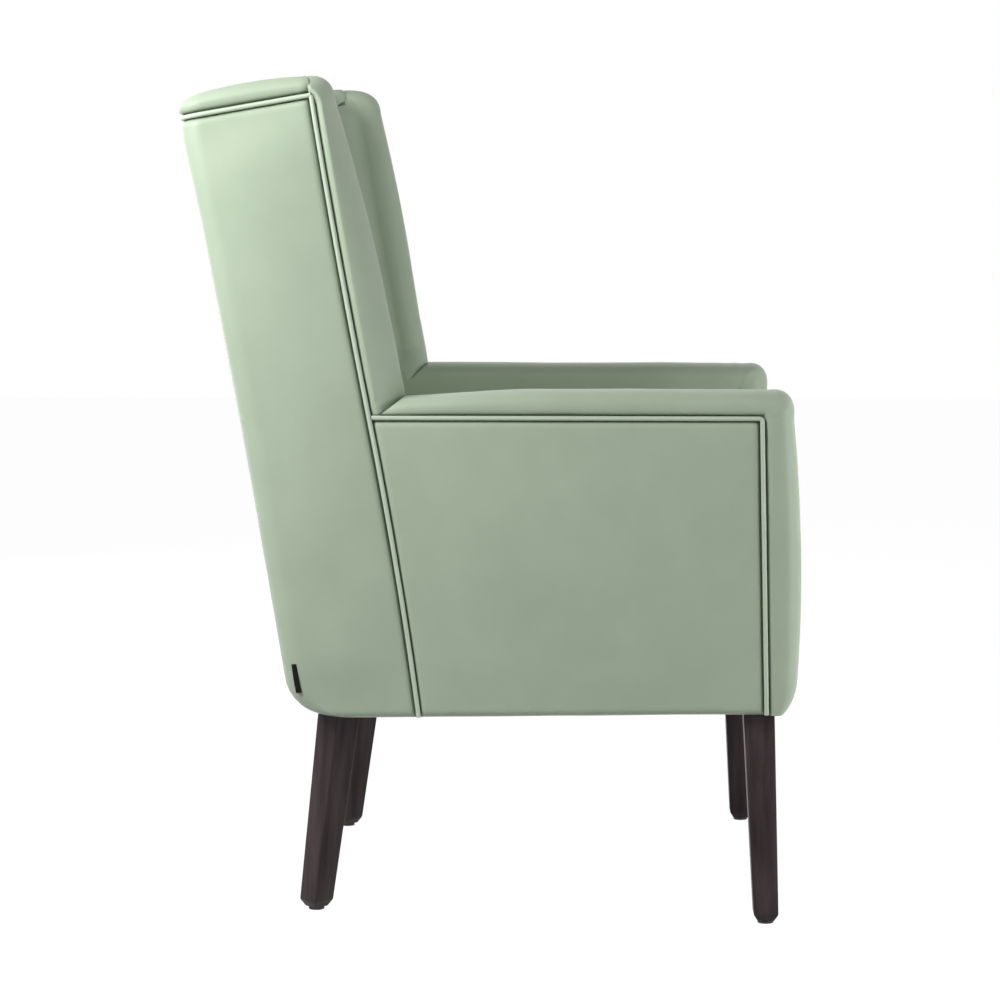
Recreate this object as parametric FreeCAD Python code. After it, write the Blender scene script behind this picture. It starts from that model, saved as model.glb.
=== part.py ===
import FreeCAD, Part
import math
import os

# High-backed waiting room armchair, upholstered in piped vinyl on a plywood and beech frame.
# Millimetres. +Z is up, the chair faces -Y, X runs across it, and the origin is on the floor
# under the middle of the chair. Left and right are the sitter's: left is +X.

# Overall sizes
HEIGHT = 1040.0
SIDE_X = 326.0
ARM_INNER_X = 234.0
UNDERSIDE_Z = 258.0
FRAME_Z = 268.0

# Cover materials
VINYL = 1.5
WADDING = 6.0
PAD = 6.5
WELT_R = 3.5
WELT_X = SIDE_X - VINYL
SEAM_GAP = WELT_R + 0.1

# Frame timber
PLY = 18.0
PLY_X = SIDE_X - VINYL - WADDING
PLY_IN_X = PLY_X - PLY
ARM_PLY = 12.0
ARM_FOAM = 14.5
ARM_PLY_X = ARM_INNER_X + VINYL + ARM_FOAM
RAIL = 22.0
POST_DEPTH = 42.0
RAIL_TOP_Z = 350.0
DECK_REAR_Y = 222.0
ARM_REAR_Y = 130.0
BOARD_Z = (320.0, 975.0)
LUMBAR_RAIL_Z = (440.0, 510.0)
TOP_RAIL_Z = (925.0, 995.0)
ARM_WINDOW = ((-270.0, 345.0), (-262.0, 555.0), (60.0, 555.0), (25.0, 345.0))
ARM_WINDOW_R = 40.0
ARM_INNER_WINDOW = ((-262.0, 400.0), (-258.0, 560.0), (70.0, 560.0), (70.0, 400.0))
BACK_WINDOW_Z = (680.0, 930.0)
BACK_WINDOW_EDGE = 55.0
BACK_WINDOW_R = 18.0

# Arm
ARM_SEAM_Z = 626.0
ARM_TOP_Z = 657.0
ARM_FRAME_TOP_Z = ARM_SEAM_Z + SEAM_GAP
FRONT_SEAM_TOP_Y = -330.0
FRONT_SEAM_FOOT_Y = -338.5
CAP_FRONT_Y = -381.5
CAP_CORNER_Y = -375.5
CAP_REAR_Y = 140.0
CAP_CORNER_R = 29.0
CAP_ROUND = 22.0
CAP_TOE = (-383.0, 300.0)
CAP_FOOT = (-369.0, 264.0)
CAP_HEEL = (-345.0, 255.0)

# Back: the side seam is a gentle S of two tangent curves, and the rear line is one shallow curve
SEAM_FOOT = (88.5, UNDERSIDE_Z)
SEAM_WAIST = (146.8, 618.6)
SEAM_HEAD = (216.6, 1016.0)
SEAM_WAIST_SLOPE = 0.195
REAR_LOW = (253.3, 290.0)
REAR_MID = (321.8, 690.0)
REAR_TOP = (382.5, 990.0)
REAR_CORNER_R = 28.0
REAR_FOOT = ((268.0, 330.0), (243.5, 275.0), (226.0, 263.5))
REAR_PLY_SET = 22.8
BACK_BOARD = 5.0
TOP_SLOPE = 0.1727
TOP_ROUND = 17.0
TOP_REAR_R = 12.0
TOP_REAR_Y = 378.5
TOP_CROWN = (292.0, 1033.5)
TOP_TAIL = (388.0, 1011.4)
NOSE_Y = 199.0
TOP_CORNER = ((189.3, 1008.0), (199.9, 1032.0), (214.0, HEIGHT))
WING_FRONT = ((110.7, 676.0), (147.9, 856.0), (193.3, 1021.8))
WING_ROUND = 15.0
WING_LAP = 12.0
WING_IN_X = 262.0
WING_INNER_DEPTH = 28.0
BACK_PAD_DEPTH = 45.0
BACK_WEB_DEPTH = BACK_PAD_DEPTH + 0.4
WEB = 2.0
WEB_WIDTH = 50.0
WEB_PITCH = 90.0
BACK_CROWN = 5.0
BACK_SIDE_SET = 17.0
LUMBAR = 8.0
LUMBAR_Z = 590.0

# Seat
SEAT_HALF = 232.5
SEAT_FRONT_Y = -373.0
SEAT_BASE_Z = 352.0
SEAT_EDGE_Z = 455.0
SEAT_TOP_Z = 481.0
SEAT_CORNER_R = 26.0
SEAT_WELT_R = 3.0
BORDER_Y = -358.0
BORDER_BULGE = 9.0

# Legs
LEG_TOP = 38.5
LEG_FOOT = 30.5
TIP_H = 9.0
GLIDE_H = 3.0
GLIDE_R = 10.0
LEG_TOP_Z = FRAME_Z - 1.5
FRONT_LEG_TOP = (288.0, -330.0)
FRONT_LEG_FOOT = (310.0, -340.0)
REAR_LEG_TOP = (258.0, 190.0)
REAR_LEG_FOOT = (253.0, 222.0)
BOLT_R = 4.0
BOLT_DOWN = 34.0
BOLT_UP = 22.0

# Tab
TAB_WIDTH = 9.2
TAB_HEIGHT = 36.0
TAB_THICK = 1.2
TAB_Z = 305.0
TAB_TURN = 22.0

Vector = FreeCAD.Vector
os.makedirs("parts", exist_ok=True)


def save(name, shape):
    shape.exportStep(f"parts/{name}.step")


def mirrored(shape):
    return shape.mirror(Vector(0, 0, 0), Vector(1, 0, 0))


def save_pair(name, left):
    save(f"{name}_left", left)
    save(f"{name}_right", mirrored(left))


def save_group(name, shapes):
    save(name, Part.makeCompound(shapes))


# Outlines in the side view: a step is an end point, or an arc's middle and end points

def side_edges(start, steps, x):
    edges = []
    at = start
    for step in steps:
        middle, end = step if isinstance(step[0], tuple) else (None, step)
        first = Vector(x, *at)
        last = Vector(x, *end)
        if middle:
            edges.append(Part.Arc(first, Vector(x, *middle), last).toShape())
        else:
            edges.append(Part.makeLine(first, last))
        at = end
    return edges


def slab(start, steps, x0, x1):
    """A side outline, closed by a straight line, extruded across the chair from x0 to x1."""
    wire = Part.Wire(side_edges(start, steps + [start], x0))
    return Part.Face(wire).extrude(Vector(x1 - x0, 0, 0))


def box(x0, x1, y0, y1, z0, z1):
    return Part.makeBox(x1 - x0, y1 - y0, z1 - z0, Vector(x0, y0, z0))


def seam_arc(end):
    """Centre and radius of the circle that leaves the waist along the seam and meets its end."""
    waist = Vector(0, *SEAM_WAIST)
    across = Vector(0, 1, -SEAM_WAIST_SLOPE).normalize()
    chord = Vector(0, *end) - waist
    radius = chord.Length**2 / (2 * chord.dot(across))
    return waist + across * radius, radius


def seam_y(z):
    """The side seam of the back, where the wing roll meets the outside of the back."""
    centre, radius = seam_arc(SEAM_FOOT if z < SEAM_WAIST[1] else SEAM_HEAD)
    return centre.y - math.copysign(math.sqrt(radius**2 - (z - centre.z) ** 2), radius)


def arc_y(points, z):
    """Height z on the arc through three side points that bulges forward."""
    circle = Part.Arc(*[Vector(0, *point) for point in points]).toShape().Curve
    return circle.Center.y - math.sqrt(circle.Radius**2 - (z - circle.Center.z) ** 2)


def rear_y(z):
    """The rear line of the back."""
    return arc_y((REAR_LOW, REAR_MID, REAR_TOP), z)


def wing_front_y(z):
    """The front of the wing roll, which draws back towards the top."""
    return arc_y(WING_FRONT, z)


def top_z(y):
    """The top seam of the back, square to its lean."""
    return SEAM_HEAD[1] - TOP_SLOPE * (y - SEAM_HEAD[0])


def mitre_y(z):
    """The mitre where a wing meets the top roll, from the head of the side seam up to the nose."""
    low = SEAM_HEAD[1] + SEAM_GAP
    return SEAM_HEAD[0] - (SEAM_HEAD[0] - NOSE_Y) * (z - low) / (HEIGHT - low)


def run(curve, z0, z1, shift=0.0):
    """Arc steps along a side curve from height z0 to z1, split at the seam's waist."""
    stops = [z0, z1]
    if curve is seam_y and min(z0, z1) < SEAM_WAIST[1] < max(z0, z1):
        stops.insert(1, SEAM_WAIST[1])
    steps = []
    for a, b in zip(stops, stops[1:]):
        middle = (a + b) / 2
        steps.append(((curve(middle) + shift, middle), (curve(b) + shift, b)))
    return steps


def front_seam_y(z):
    """The front seam of the arm, which leans a little forward on its way down."""
    share = (z - UNDERSIDE_Z) / (ARM_SEAM_Z - UNDERSIDE_Z)
    return FRONT_SEAM_FOOT_Y + share * (FRONT_SEAM_TOP_Y - FRONT_SEAM_FOOT_Y)


def fillet_where(shape, radius, test):
    """Round the edges whose middle point passes the test."""
    chosen = [edge for edge in shape.Edges if test(edge.valueAt(sum(edge.ParameterRange) / 2), edge)]
    return shape.makeFillet(radius, chosen)


def loft(wires):
    solid = Part.makeLoft(wires, True, True)
    return solid if solid.Volume > 0 else solid.reversed()


def on_plane(edge, x):
    return all(abs(vertex.X - x) < 0.01 for vertex in edge.Vertexes)


# Frame

def front_band_y(z):
    """The front face of the arm frame, under the padded front band."""
    return front_seam_y(z) - SEAM_GAP


def side_panel():
    """Plywood cheek: arm and back in one sheet, with a window in each."""
    low = FRAME_Z
    arm = ARM_FRAME_TOP_Z
    cheek_top = top_z(seam_y(1000.0)) - 2 * SEAM_GAP
    rear_top = BOARD_Z[1]
    steps = [(front_band_y(arm), arm), (seam_y(arm) + SEAM_GAP, arm)]
    steps += run(seam_y, arm, cheek_top, SEAM_GAP)
    steps += [(rear_y(rear_top) - REAR_PLY_SET, rear_top)]
    steps += run(rear_y, rear_top, 300.0, -REAR_PLY_SET)
    steps += [(210.0, low)]
    panel = slab((front_band_y(low), low), steps, PLY_IN_X, PLY_X)
    arm_window = slab(ARM_WINDOW[0], list(ARM_WINDOW[1:]), PLY_IN_X, PLY_X)
    sill, head = BACK_WINDOW_Z
    edge = BACK_WINDOW_EDGE
    steps = run(seam_y, sill, head, edge) + [(rear_y(head) - edge, head)] + run(rear_y, head, sill, -edge)
    back_window = slab((seam_y(sill) + edge, sill), steps, PLY_IN_X, PLY_X)
    return panel.cut([rounded_corners(arm_window, ARM_WINDOW_R), rounded_corners(back_window, BACK_WINDOW_R)])


def rounded_corners(window, radius):
    return fillet_where(window, radius, lambda middle, edge: not on_plane(edge, edge.Vertexes[0].X))


def arm_inner_panel():
    top = ARM_FRAME_TOP_Z
    steps = [(front_band_y(top), top), (ARM_REAR_Y, top), (ARM_REAR_Y, FRAME_Z)]
    panel = slab((front_band_y(FRAME_Z), FRAME_Z), steps, ARM_PLY_X, ARM_PLY_X + ARM_PLY)
    window = slab(ARM_INNER_WINDOW[0], list(ARM_INNER_WINDOW[1:]), ARM_PLY_X, ARM_PLY_X + ARM_PLY)
    return panel.cut(rounded_corners(window, ARM_WINDOW_R))


def arm_front_post():
    top = ARM_FRAME_TOP_Z
    steps = [(front_band_y(top), top), (front_band_y(top) + POST_DEPTH, top),
             (front_band_y(FRAME_Z) + POST_DEPTH, FRAME_Z)]
    return slab((front_band_y(FRAME_Z), FRAME_Z), steps, ARM_PLY_X + ARM_PLY, PLY_IN_X)


def arm_top_rail():
    top = ARM_FRAME_TOP_Z
    front = front_band_y(top) + POST_DEPTH
    return box(ARM_PLY_X + ARM_PLY, PLY_IN_X, front, ARM_REAR_Y - 20.0, top - RAIL, top)


def front_rail():
    top = RAIL_TOP_Z
    rear = front_band_y(top) + RAIL + 4.0
    steps = [(front_band_y(top), top), (rear, top), (rear, FRAME_Z)]
    return slab((front_band_y(FRAME_Z), FRAME_Z), steps, -ARM_PLY_X, ARM_PLY_X)


def rear_rail():
    return box(-PLY_IN_X, PLY_IN_X, DECK_REAR_Y - RAIL, DECK_REAR_Y, RAIL_TOP_Z - 50.0, RAIL_TOP_Z)


def back_rail(z0, z1):
    """A rail behind the back webbing, leaning with the back."""
    front = BACK_WEB_DEPTH + WEB
    steps = run(seam_y, z0, z1, front) + [(seam_y(z1) + front + RAIL, z1)]
    steps += run(seam_y, z1, z0, front + RAIL)
    return slab((seam_y(z0) + front, z0), steps, -PLY_IN_X, PLY_IN_X)


def seat_webbing():
    """Straps front to rear over the rails, with cross straps stretched below them."""
    half = WEB_WIDTH / 2
    top = RAIL_TOP_Z
    straps = []
    for k in range(-2, 3):
        x = k * WEB_PITCH
        straps.append(box(x - half, x + half, front_band_y(top), DECK_REAR_Y, top, top + WEB))
    for y in (-210.0, -80.0, 50.0):
        straps.append(box(-ARM_PLY_X, ARM_PLY_X, y - half, y + half, top - WEB, top))
    return straps


def back_webbing(z0, z1):
    """Upright straps on the front faces of the lumbar rail and the top rail."""
    half = WEB_WIDTH / 2
    straps = []
    for k in range(-2, 3):
        x = k * WEB_PITCH
        steps = run(seam_y, z0, z1, BACK_WEB_DEPTH) + [(seam_y(z1) + BACK_WEB_DEPTH + WEB, z1)]
        steps += run(seam_y, z1, z0, BACK_WEB_DEPTH + WEB)
        straps.append(slab((seam_y(z0) + BACK_WEB_DEPTH, z0), steps, x - half, x + half))
    return straps


def back_layer(front, rear, half):
    """A sheet that follows the rear line, between two depths in front of it."""
    low, high = BOARD_Z
    steps = run(rear_y, low, high, -front) + [(rear_y(high) - rear, high)] + run(rear_y, high, low, -rear)
    return slab((rear_y(low) - front, low), steps, -half, half)


# Back upholstery

def back_foot(inset, over):
    """Everything below the underside of the back, with its rounded lower rear corner."""
    start, corner, lip = REAR_FOOT
    lip = (lip[0], lip[1] + inset)
    corner = (corner[0] - inset, corner[1] + inset)
    low = UNDERSIDE_Z - over
    flat_y = lip[0] if over else 200.0
    steps = [(corner, lip), (flat_y, low), (-50.0, low), (-50.0, 150.0), (300.0, 150.0)]
    return slab((start[0], start[1] + inset), steps, -400.0, 400.0)


def back_body(inset, over):
    """Outside of the back with rounded rear corners, or its bevelled inside when inset.

    over extends it past its open edges.
    """
    front = SEAM_GAP - over
    low = 200.0
    high = 1012.0 + over
    rear_high = top_z(REAR_TOP[0]) - SEAM_GAP + over
    half = SIDE_X - inset
    steps = run(seam_y, low, high, front) + [(rear_y(rear_high) - inset, rear_high)]
    steps += run(rear_y, rear_high, low, -inset)
    body = slab((seam_y(low) + front, low), steps, -half, half)

    def is_rear_edge(edge):
        flat = on_plane(edge, half) or on_plane(edge, -half)
        return flat and edge.Length > 400.0 and edge.CenterOfMass.y > 230.0

    rear_edges = [edge for edge in body.Edges if is_rear_edge(edge)]
    if inset:
        body = body.makeChamfer(REAR_CORNER_R - inset, rear_edges)
    else:
        body = body.makeFillet(REAR_CORNER_R, rear_edges)
    return body.cut(back_foot(inset, over))


def outer_back_cover():
    return back_body(0.0, 0.0).cut(back_body(VINYL, 12.0))


def back_wadding():
    rear = -REAR_CORNER_R - 1.0
    low, high = 300.0, 980.0
    steps = run(seam_y, low, high + 28.0, SEAM_GAP) + [(rear_y(high) + rear, high)]
    steps += run(rear_y, high, low, rear)
    return slab((seam_y(low) + SEAM_GAP, low), steps, PLY_X, PLY_X + WADDING)


def above_top_seam():
    """Everything above the top seam, and in front of the mitre where the wing meets the top roll."""
    rear = 420.0
    high = 1120.0
    steps = [(rear, top_z(rear) + SEAM_GAP), (rear, high), (mitre_y(high), high)]
    return slab((SEAM_HEAD[0], SEAM_HEAD[1] + SEAM_GAP), steps, -SIDE_X - 20.0, SIDE_X + 20.0)


def top_corner(inset):
    """What is cut away to round the upper front corner of the wings and the top roll."""
    start, middle, end = [(y + inset, z - inset) for y, z in TOP_CORNER]
    front = start[0] - 40.0
    high = HEIGHT + 20.0
    return slab(start, [(middle, end), (end[0], high), (front, high), (front, start[1])], -400.0, 400.0)


def wing_nose(inset):
    """Front of a wing, before the plywood's edge, without rounded edges."""
    low, high = 600.0, 1043.0
    steps = run(wing_front_y, low, high, inset) + [(seam_y(high) - SEAM_GAP, high)]
    steps += run(seam_y, high, low, -SEAM_GAP)
    return slab((wing_front_y(low) + inset, low), steps, WING_IN_X + inset, SIDE_X - inset)


def wing_cheek_section(z, inset):
    """Plan section of a wing beside the plywood, with an inner face that slopes in to the back."""
    seam = seam_y(z)
    inner = ARM_INNER_X + inset
    start = seam - WING_LAP
    rear = seam + BACK_PAD_DEPTH
    slope = seam + WING_INNER_DEPTH
    plan = [(PLY_IN_X, start), (WING_IN_X + inset, start), (inner, slope), (inner, rear), (PLY_IN_X, rear)]
    return Part.makePolygon([Vector(x, y, z) for x, y in plan + plan[:1]])


def wing(nose, inset):
    """A wing with the given nose, mitred under the top roll and standing on the arm."""
    heights = (600.0, 700.0, 815.0, 930.0, 1045.0)
    cheek = loft([wing_cheek_section(z, inset) for z in heights])
    below = box(0, 400.0, -100.0, 400.0, 500.0, ARM_FRAME_TOP_Z)
    return nose.fuse(cheek).cut([above_top_seam(), below, top_corner(inset / 2)])


def padded_wing():
    """The wing's outside, with a rounded nose."""

    def is_front(middle, edge):
        flat = on_plane(edge, SIDE_X) or on_plane(edge, WING_IN_X)
        return flat and edge.Length > 300.0 and abs(middle.y - wing_front_y(middle.z)) < 1.0

    return wing(fillet_where(wing_nose(0.0), WING_ROUND, is_front), 0.0)


def top_block(inset):
    """Plain block over the top of the back, behind the mitre, without rounded edges."""
    high = HEIGHT - inset
    front = SEAM_HEAD[0] + inset
    rear = TOP_REAR_Y - inset
    half = SIDE_X - inset
    crown = (TOP_CROWN[0], TOP_CROWN[1] - inset)
    tail = (TOP_TAIL[0] - inset, TOP_TAIL[1] - inset)
    steps = [(mitre_y(high) + inset, high), (crown, tail), (rear, top_z(rear) + SEAM_GAP)]
    return slab((front, top_z(front) + SEAM_GAP), steps, -half, half)


def top_roll():
    """Padded roll over the top of the back, rounded at both ends and along the rear."""

    def is_rear_top(middle, edge):
        return abs(middle.x) < 1.0 and middle.y > 370.0 and middle.z > 1005.0

    def is_end(middle, edge):
        flat = on_plane(edge, SIDE_X) or on_plane(edge, -SIDE_X)
        return flat and middle.z - top_z(middle.y) > SEAM_GAP + 2.0 and middle.y > SEAM_HEAD[0]

    roll = fillet_where(top_block(0.0), TOP_REAR_R, is_rear_top)
    return fillet_where(roll, TOP_ROUND, is_end).cut(top_corner(0.0))


def inner_back_section(z, inset, over):
    seam = seam_y(z)
    half = SEAT_HALF - inset
    rear = seam + BACK_PAD_DEPTH + over
    side = seam + BACK_SIDE_SET + inset
    bump = LUMBAR * math.exp(-(((z - LUMBAR_Z) / 130.0) ** 2))
    crown = seam - BACK_CROWN - bump + inset
    a, b = Vector(-half, rear, z), Vector(-half, side, z)
    c, d = Vector(half, side, z), Vector(half, rear, z)
    arc = Part.Arc(b, Vector(0, crown, z), c).toShape()
    return Part.Wire([Part.makeLine(a, b), arc, Part.makeLine(c, d), Part.makeLine(d, a)])


def inner_back(inset, over=0.0):
    heights = (SEAT_BASE_Z, 480.0, 590.0, 700.0, 830.0, 940.0, 1050.0)
    solid = loft([inner_back_section(z, inset, over) for z in heights])
    return solid.cut(above_top_seam())


# Arm upholstery

def arm_cap_block(inset):
    """Plain bent block over the arm and down its front, without rounded edges."""
    top = ARM_TOP_Z - inset
    base = ARM_FRAME_TOP_Z
    corner_y = CAP_CORNER_Y + inset
    low = 200.0
    steps = [(CAP_REAR_Y, top), (corner_y, top), (CAP_FRONT_Y + inset, low), (front_band_y(low), low),
             (front_band_y(base), base)]
    return slab((CAP_REAR_Y, base), steps, ARM_INNER_X + inset, SIDE_X - inset)


def arm_cap_foot(inset):
    """What is cut away below the rounded foot of the front band."""
    heel = (CAP_HEEL[0], CAP_HEEL[1] + inset)
    foot = (CAP_FOOT[0] + inset, CAP_FOOT[1] + inset)
    steps = [(foot, heel), (-300.0, heel[1]), (-300.0, 150.0), (-420.0, 150.0)]
    return slab(CAP_TOE, steps, 200.0, 360.0)


def arm_cap():
    """Padded band over the arm and down its front, with rounded long edges and foot."""

    def is_corner(middle, edge):
        return abs(middle.y - CAP_CORNER_Y) < 1.0 and abs(middle.z - ARM_TOP_Z) < 1.0

    def is_long(middle, edge):
        flat = on_plane(edge, ARM_INNER_X) or on_plane(edge, SIDE_X)
        return flat and (middle.z > ARM_FRAME_TOP_Z + 8.0 or middle.y < CAP_CORNER_Y + 8.0)

    cap = fillet_where(arm_cap_block(0.0), CAP_CORNER_R, is_corner)
    cap = fillet_where(cap, CAP_ROUND, is_long)
    return cap.cut(arm_cap_foot(0.0))


def arm_outer(x0, x1):
    """Flat outside of the arm, between the top, front and back seams."""
    top = ARM_SEAM_Z - SEAM_GAP
    steps = [(front_seam_y(top) + SEAM_GAP, top), (seam_y(top) - SEAM_GAP, top)]
    steps += run(seam_y, top, UNDERSIDE_Z, -SEAM_GAP)
    return slab((front_seam_y(UNDERSIDE_Z) + SEAM_GAP, UNDERSIDE_Z), steps, x0, x1)


def arm_inner(x0, x1):
    """Flat inside of the arm above the seat deck, from the front band to behind the seat."""
    low, top = SEAT_BASE_Z, ARM_FRAME_TOP_Z
    steps = [(front_band_y(top), top), (ARM_REAR_Y, top), (ARM_REAR_Y, low)]
    return slab((front_band_y(low), low), steps, x0, x1)


# Welts, the piped seams

def welt(edges, radius):
    """An eight-sided cord along a run of seam."""
    path = Part.Wire(edges)
    start = path.Edges[0]
    point = start.valueAt(start.FirstParameter)
    direction = start.tangentAt(start.FirstParameter)
    across = Vector(1, 0, 0) if abs(direction.x) < 0.9 else Vector(0, 0, 1)
    across = across - direction * across.dot(direction)
    across.normalize()
    up = direction.cross(across)
    corners = []
    for k in range(9):
        angle = math.radians(22.5 + 45.0 * k)
        corners.append(point + (across * math.cos(angle) + up * math.sin(angle)) * radius)
    return path.makePipeShell([Part.makePolygon(corners)], True, False, 1)


def arm_welt():
    """Cord along the top of the arm and down its front."""
    rear = (seam_y(ARM_SEAM_Z) - SEAM_GAP - 0.3, ARM_SEAM_Z)
    corner = (FRONT_SEAM_TOP_Y, ARM_SEAM_Z)
    return welt(side_edges(rear, [corner, (FRONT_SEAM_FOOT_Y, UNDERSIDE_Z)], WELT_X), WELT_R)


def back_welt():
    """Cord up the side seam, which ends under the cord of the top seam."""
    high = SEAM_HEAD[1] - 2 * SEAM_GAP
    return welt(side_edges(SEAM_FOOT, run(seam_y, UNDERSIDE_Z, high), WELT_X), WELT_R)


def top_welt():
    """Cord along the top seam, back along one side, round the rear and forward along the other."""
    reach = math.hypot(1.0, TOP_SLOPE) * (TOP_REAR_Y - SEAM_HEAD[0])
    r = REAR_CORNER_R - VINYL
    x = WELT_X - r
    y = reach - r
    bend = r * math.sqrt(0.5)
    edges = [Part.makeLine(Vector(WELT_X, 0, 0), Vector(WELT_X, y, 0)),
             Part.Arc(Vector(WELT_X, y, 0), Vector(x + bend, y + bend, 0), Vector(x, reach, 0)).toShape(),
             Part.makeLine(Vector(x, reach, 0), Vector(-x, reach, 0)),
             Part.Arc(Vector(-x, reach, 0), Vector(-x - bend, y + bend, 0), Vector(-WELT_X, y, 0)).toShape(),
             Part.makeLine(Vector(-WELT_X, y, 0), Vector(-WELT_X, 0, 0))]
    cord = welt(edges, WELT_R)
    cord.rotate(Vector(0, 0, 0), Vector(1, 0, 0), -math.degrees(math.atan(TOP_SLOPE)))
    cord.translate(Vector(0, *SEAM_HEAD))
    return cord


# Seat

def seat_ring(z, inset):
    """Edges of a rounded rectangle that ends just before the inner back, corners and sides by turns."""
    r = SEAT_CORNER_R
    x = SEAT_HALF - inset - r
    front = SEAT_FRONT_Y + inset + r
    rear = seam_y(z) - BACK_CROWN - LUMBAR - 1.0 - inset - r
    corners = [(x, front, -90.0), (x, rear, 0.0), (-x, rear, 90.0), (-x, front, 180.0)]

    def on_corner(corner, turn):
        angle = math.radians(corner[2] + turn)
        return Vector(corner[0] + r * math.cos(angle), corner[1] + r * math.sin(angle), z)

    edges = []
    for corner, following in zip(corners, corners[1:] + corners[:1]):
        end = on_corner(corner, 90.0)
        edges.append(Part.Arc(on_corner(corner, 0.0), on_corner(corner, 45.0), end).toShape())
        edges.append(Part.makeLine(end, on_corner(following, 0.0)))
    return edges


def ring_solid(rings):
    """A solid through rings of edges, with flat faces between straight edges."""
    faces = [Part.Face(Part.Wire(rings[0])), Part.Face(Part.Wire(rings[-1]))]
    for below, above in zip(rings, rings[1:]):
        for first, last in zip(below, above):
            if isinstance(first.Curve, Part.Line):
                ends = first.Vertexes + last.Vertexes[::-1]
                corners = [end.Point for end in ends]
                faces.append(Part.Face(Part.makePolygon(corners + corners[:1])))
            else:
                faces.append(Part.makeRuledSurface(first, last))
    shell = Part.makeShell(faces)
    shell.sewShape()
    solid = Part.makeSolid(shell)
    return solid if solid.Volume > 0 else solid.reversed()


def seat(inset, wall_shares, crown_shares):
    """Box cushion: walls that swell between base and edge, and a crowned top, through the given rings."""
    base = SEAT_BASE_Z
    edge = SEAT_EDGE_Z - inset
    tuck = 2 * SEAT_WELT_R
    rise = SEAT_TOP_Z - SEAT_EDGE_Z
    rings = []
    for share in wall_shares:
        swell = math.sin(math.pi * share)
        rings.append(seat_ring(base + share * (edge - base), inset + tuck - tuck * swell))
    for share in crown_shares:
        rings.append(seat_ring(edge + rise * (1.0 - (1.0 - share) ** 2.5), inset + tuck + 180.0 * share))
    return ring_solid(rings)


def seat_welt():
    """Cord that rests on the seat's top edge, a little above it and outside it."""
    lift = math.radians(25.0)
    away = SEAT_WELT_R + 0.1
    out = 2 * SEAT_WELT_R - away * math.cos(lift)
    return welt(seat_ring(SEAT_EDGE_Z + away * math.sin(lift), out), SEAT_WELT_R)


def front_border(inset):
    """Padded front below the seat cushion, between the arms."""
    rear = front_band_y(FRAME_Z)
    low = UNDERSIDE_Z + inset
    high = SEAT_BASE_Z - inset
    face = BORDER_Y + inset
    steps = [(rear, high), (face, high), ((face - BORDER_BULGE, (low + high) / 2), (face, low))]
    return slab((rear, low), steps, -SEAT_HALF + inset, SEAT_HALF - inset)


# Base

def dust_cover(holes):
    sheet = box(-PLY_X + 2.0, PLY_X - 2.0, -334.0, DECK_REAR_Y - 2.0, LEG_TOP_Z, FRAME_Z)
    return sheet.cut(holes)


def square(centre, side, turn, z):
    points = []
    for k in range(4):
        angle = math.radians(45.0 + 90.0 * k + turn)
        reach = side / math.sqrt(2.0)
        points.append(Vector(centre[0] + reach * math.cos(angle), centre[1] + reach * math.sin(angle), z))
    return points


def frustum(lower, upper):
    """A solid with flat sides between two parallel rings of points."""
    count = len(lower)
    faces = [Part.Face(Part.makePolygon(ring + ring[:1])) for ring in (lower, upper)]
    for k in range(count):
        after = (k + 1) % count
        faces.append(Part.Face(Part.makePolygon([lower[k], lower[after], upper[after], upper[k], lower[k]])))
    solid = Part.makeSolid(Part.makeShell(faces))
    return solid if solid.Volume > 0 else solid.reversed()


def leg(top, foot, turn):
    """Tapered square leg with a blunt point above its glide."""
    shoulder = square(foot, LEG_FOOT, turn, GLIDE_H + TIP_H)
    tip = frustum(square(foot, 2 * GLIDE_R, turn, GLIDE_H), shoulder)
    return frustum(shoulder, square(top, LEG_TOP, turn, LEG_TOP_Z)).fuse(tip)


def leg_axis(top, foot):
    return Vector(top[0] - foot[0], top[1] - foot[1], LEG_TOP_Z - GLIDE_H).normalize()


def ring_points(centre, axis, radius, count):
    """Points of a regular ring round an axis that is close to upright."""
    across = axis.cross(Vector(0, 1, 0)).normalize()
    along = axis.cross(across)
    points = []
    for k in range(count):
        angle = 2 * math.pi * (k + 0.5) / count
        points.append(centre + (across * math.cos(angle) + along * math.sin(angle)) * radius)
    return points


def bolt(top, foot):
    """Eight-sided stand-in for the threaded stud between leg and frame."""
    axis = leg_axis(top, foot)
    start = Vector(*top, LEG_TOP_Z) - axis * BOLT_DOWN
    end = start + axis * (BOLT_DOWN + BOLT_UP)
    return frustum(ring_points(start, axis, BOLT_R, 8), ring_points(end, axis, BOLT_R, 8))


def glide(foot):
    """Round foot disc with sixteen sides."""
    up = Vector(0, 0, 1)
    low, high = Vector(*foot, 0), Vector(*foot, GLIDE_H)
    return frustum(ring_points(low, up, GLIDE_R, 16), ring_points(high, up, GLIDE_R, 16))


def rear_leg_block():
    return box(208.0, PLY_IN_X, ARM_REAR_Y, DECK_REAR_Y, FRAME_Z, RAIL_TOP_Z - 50.0)


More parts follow.
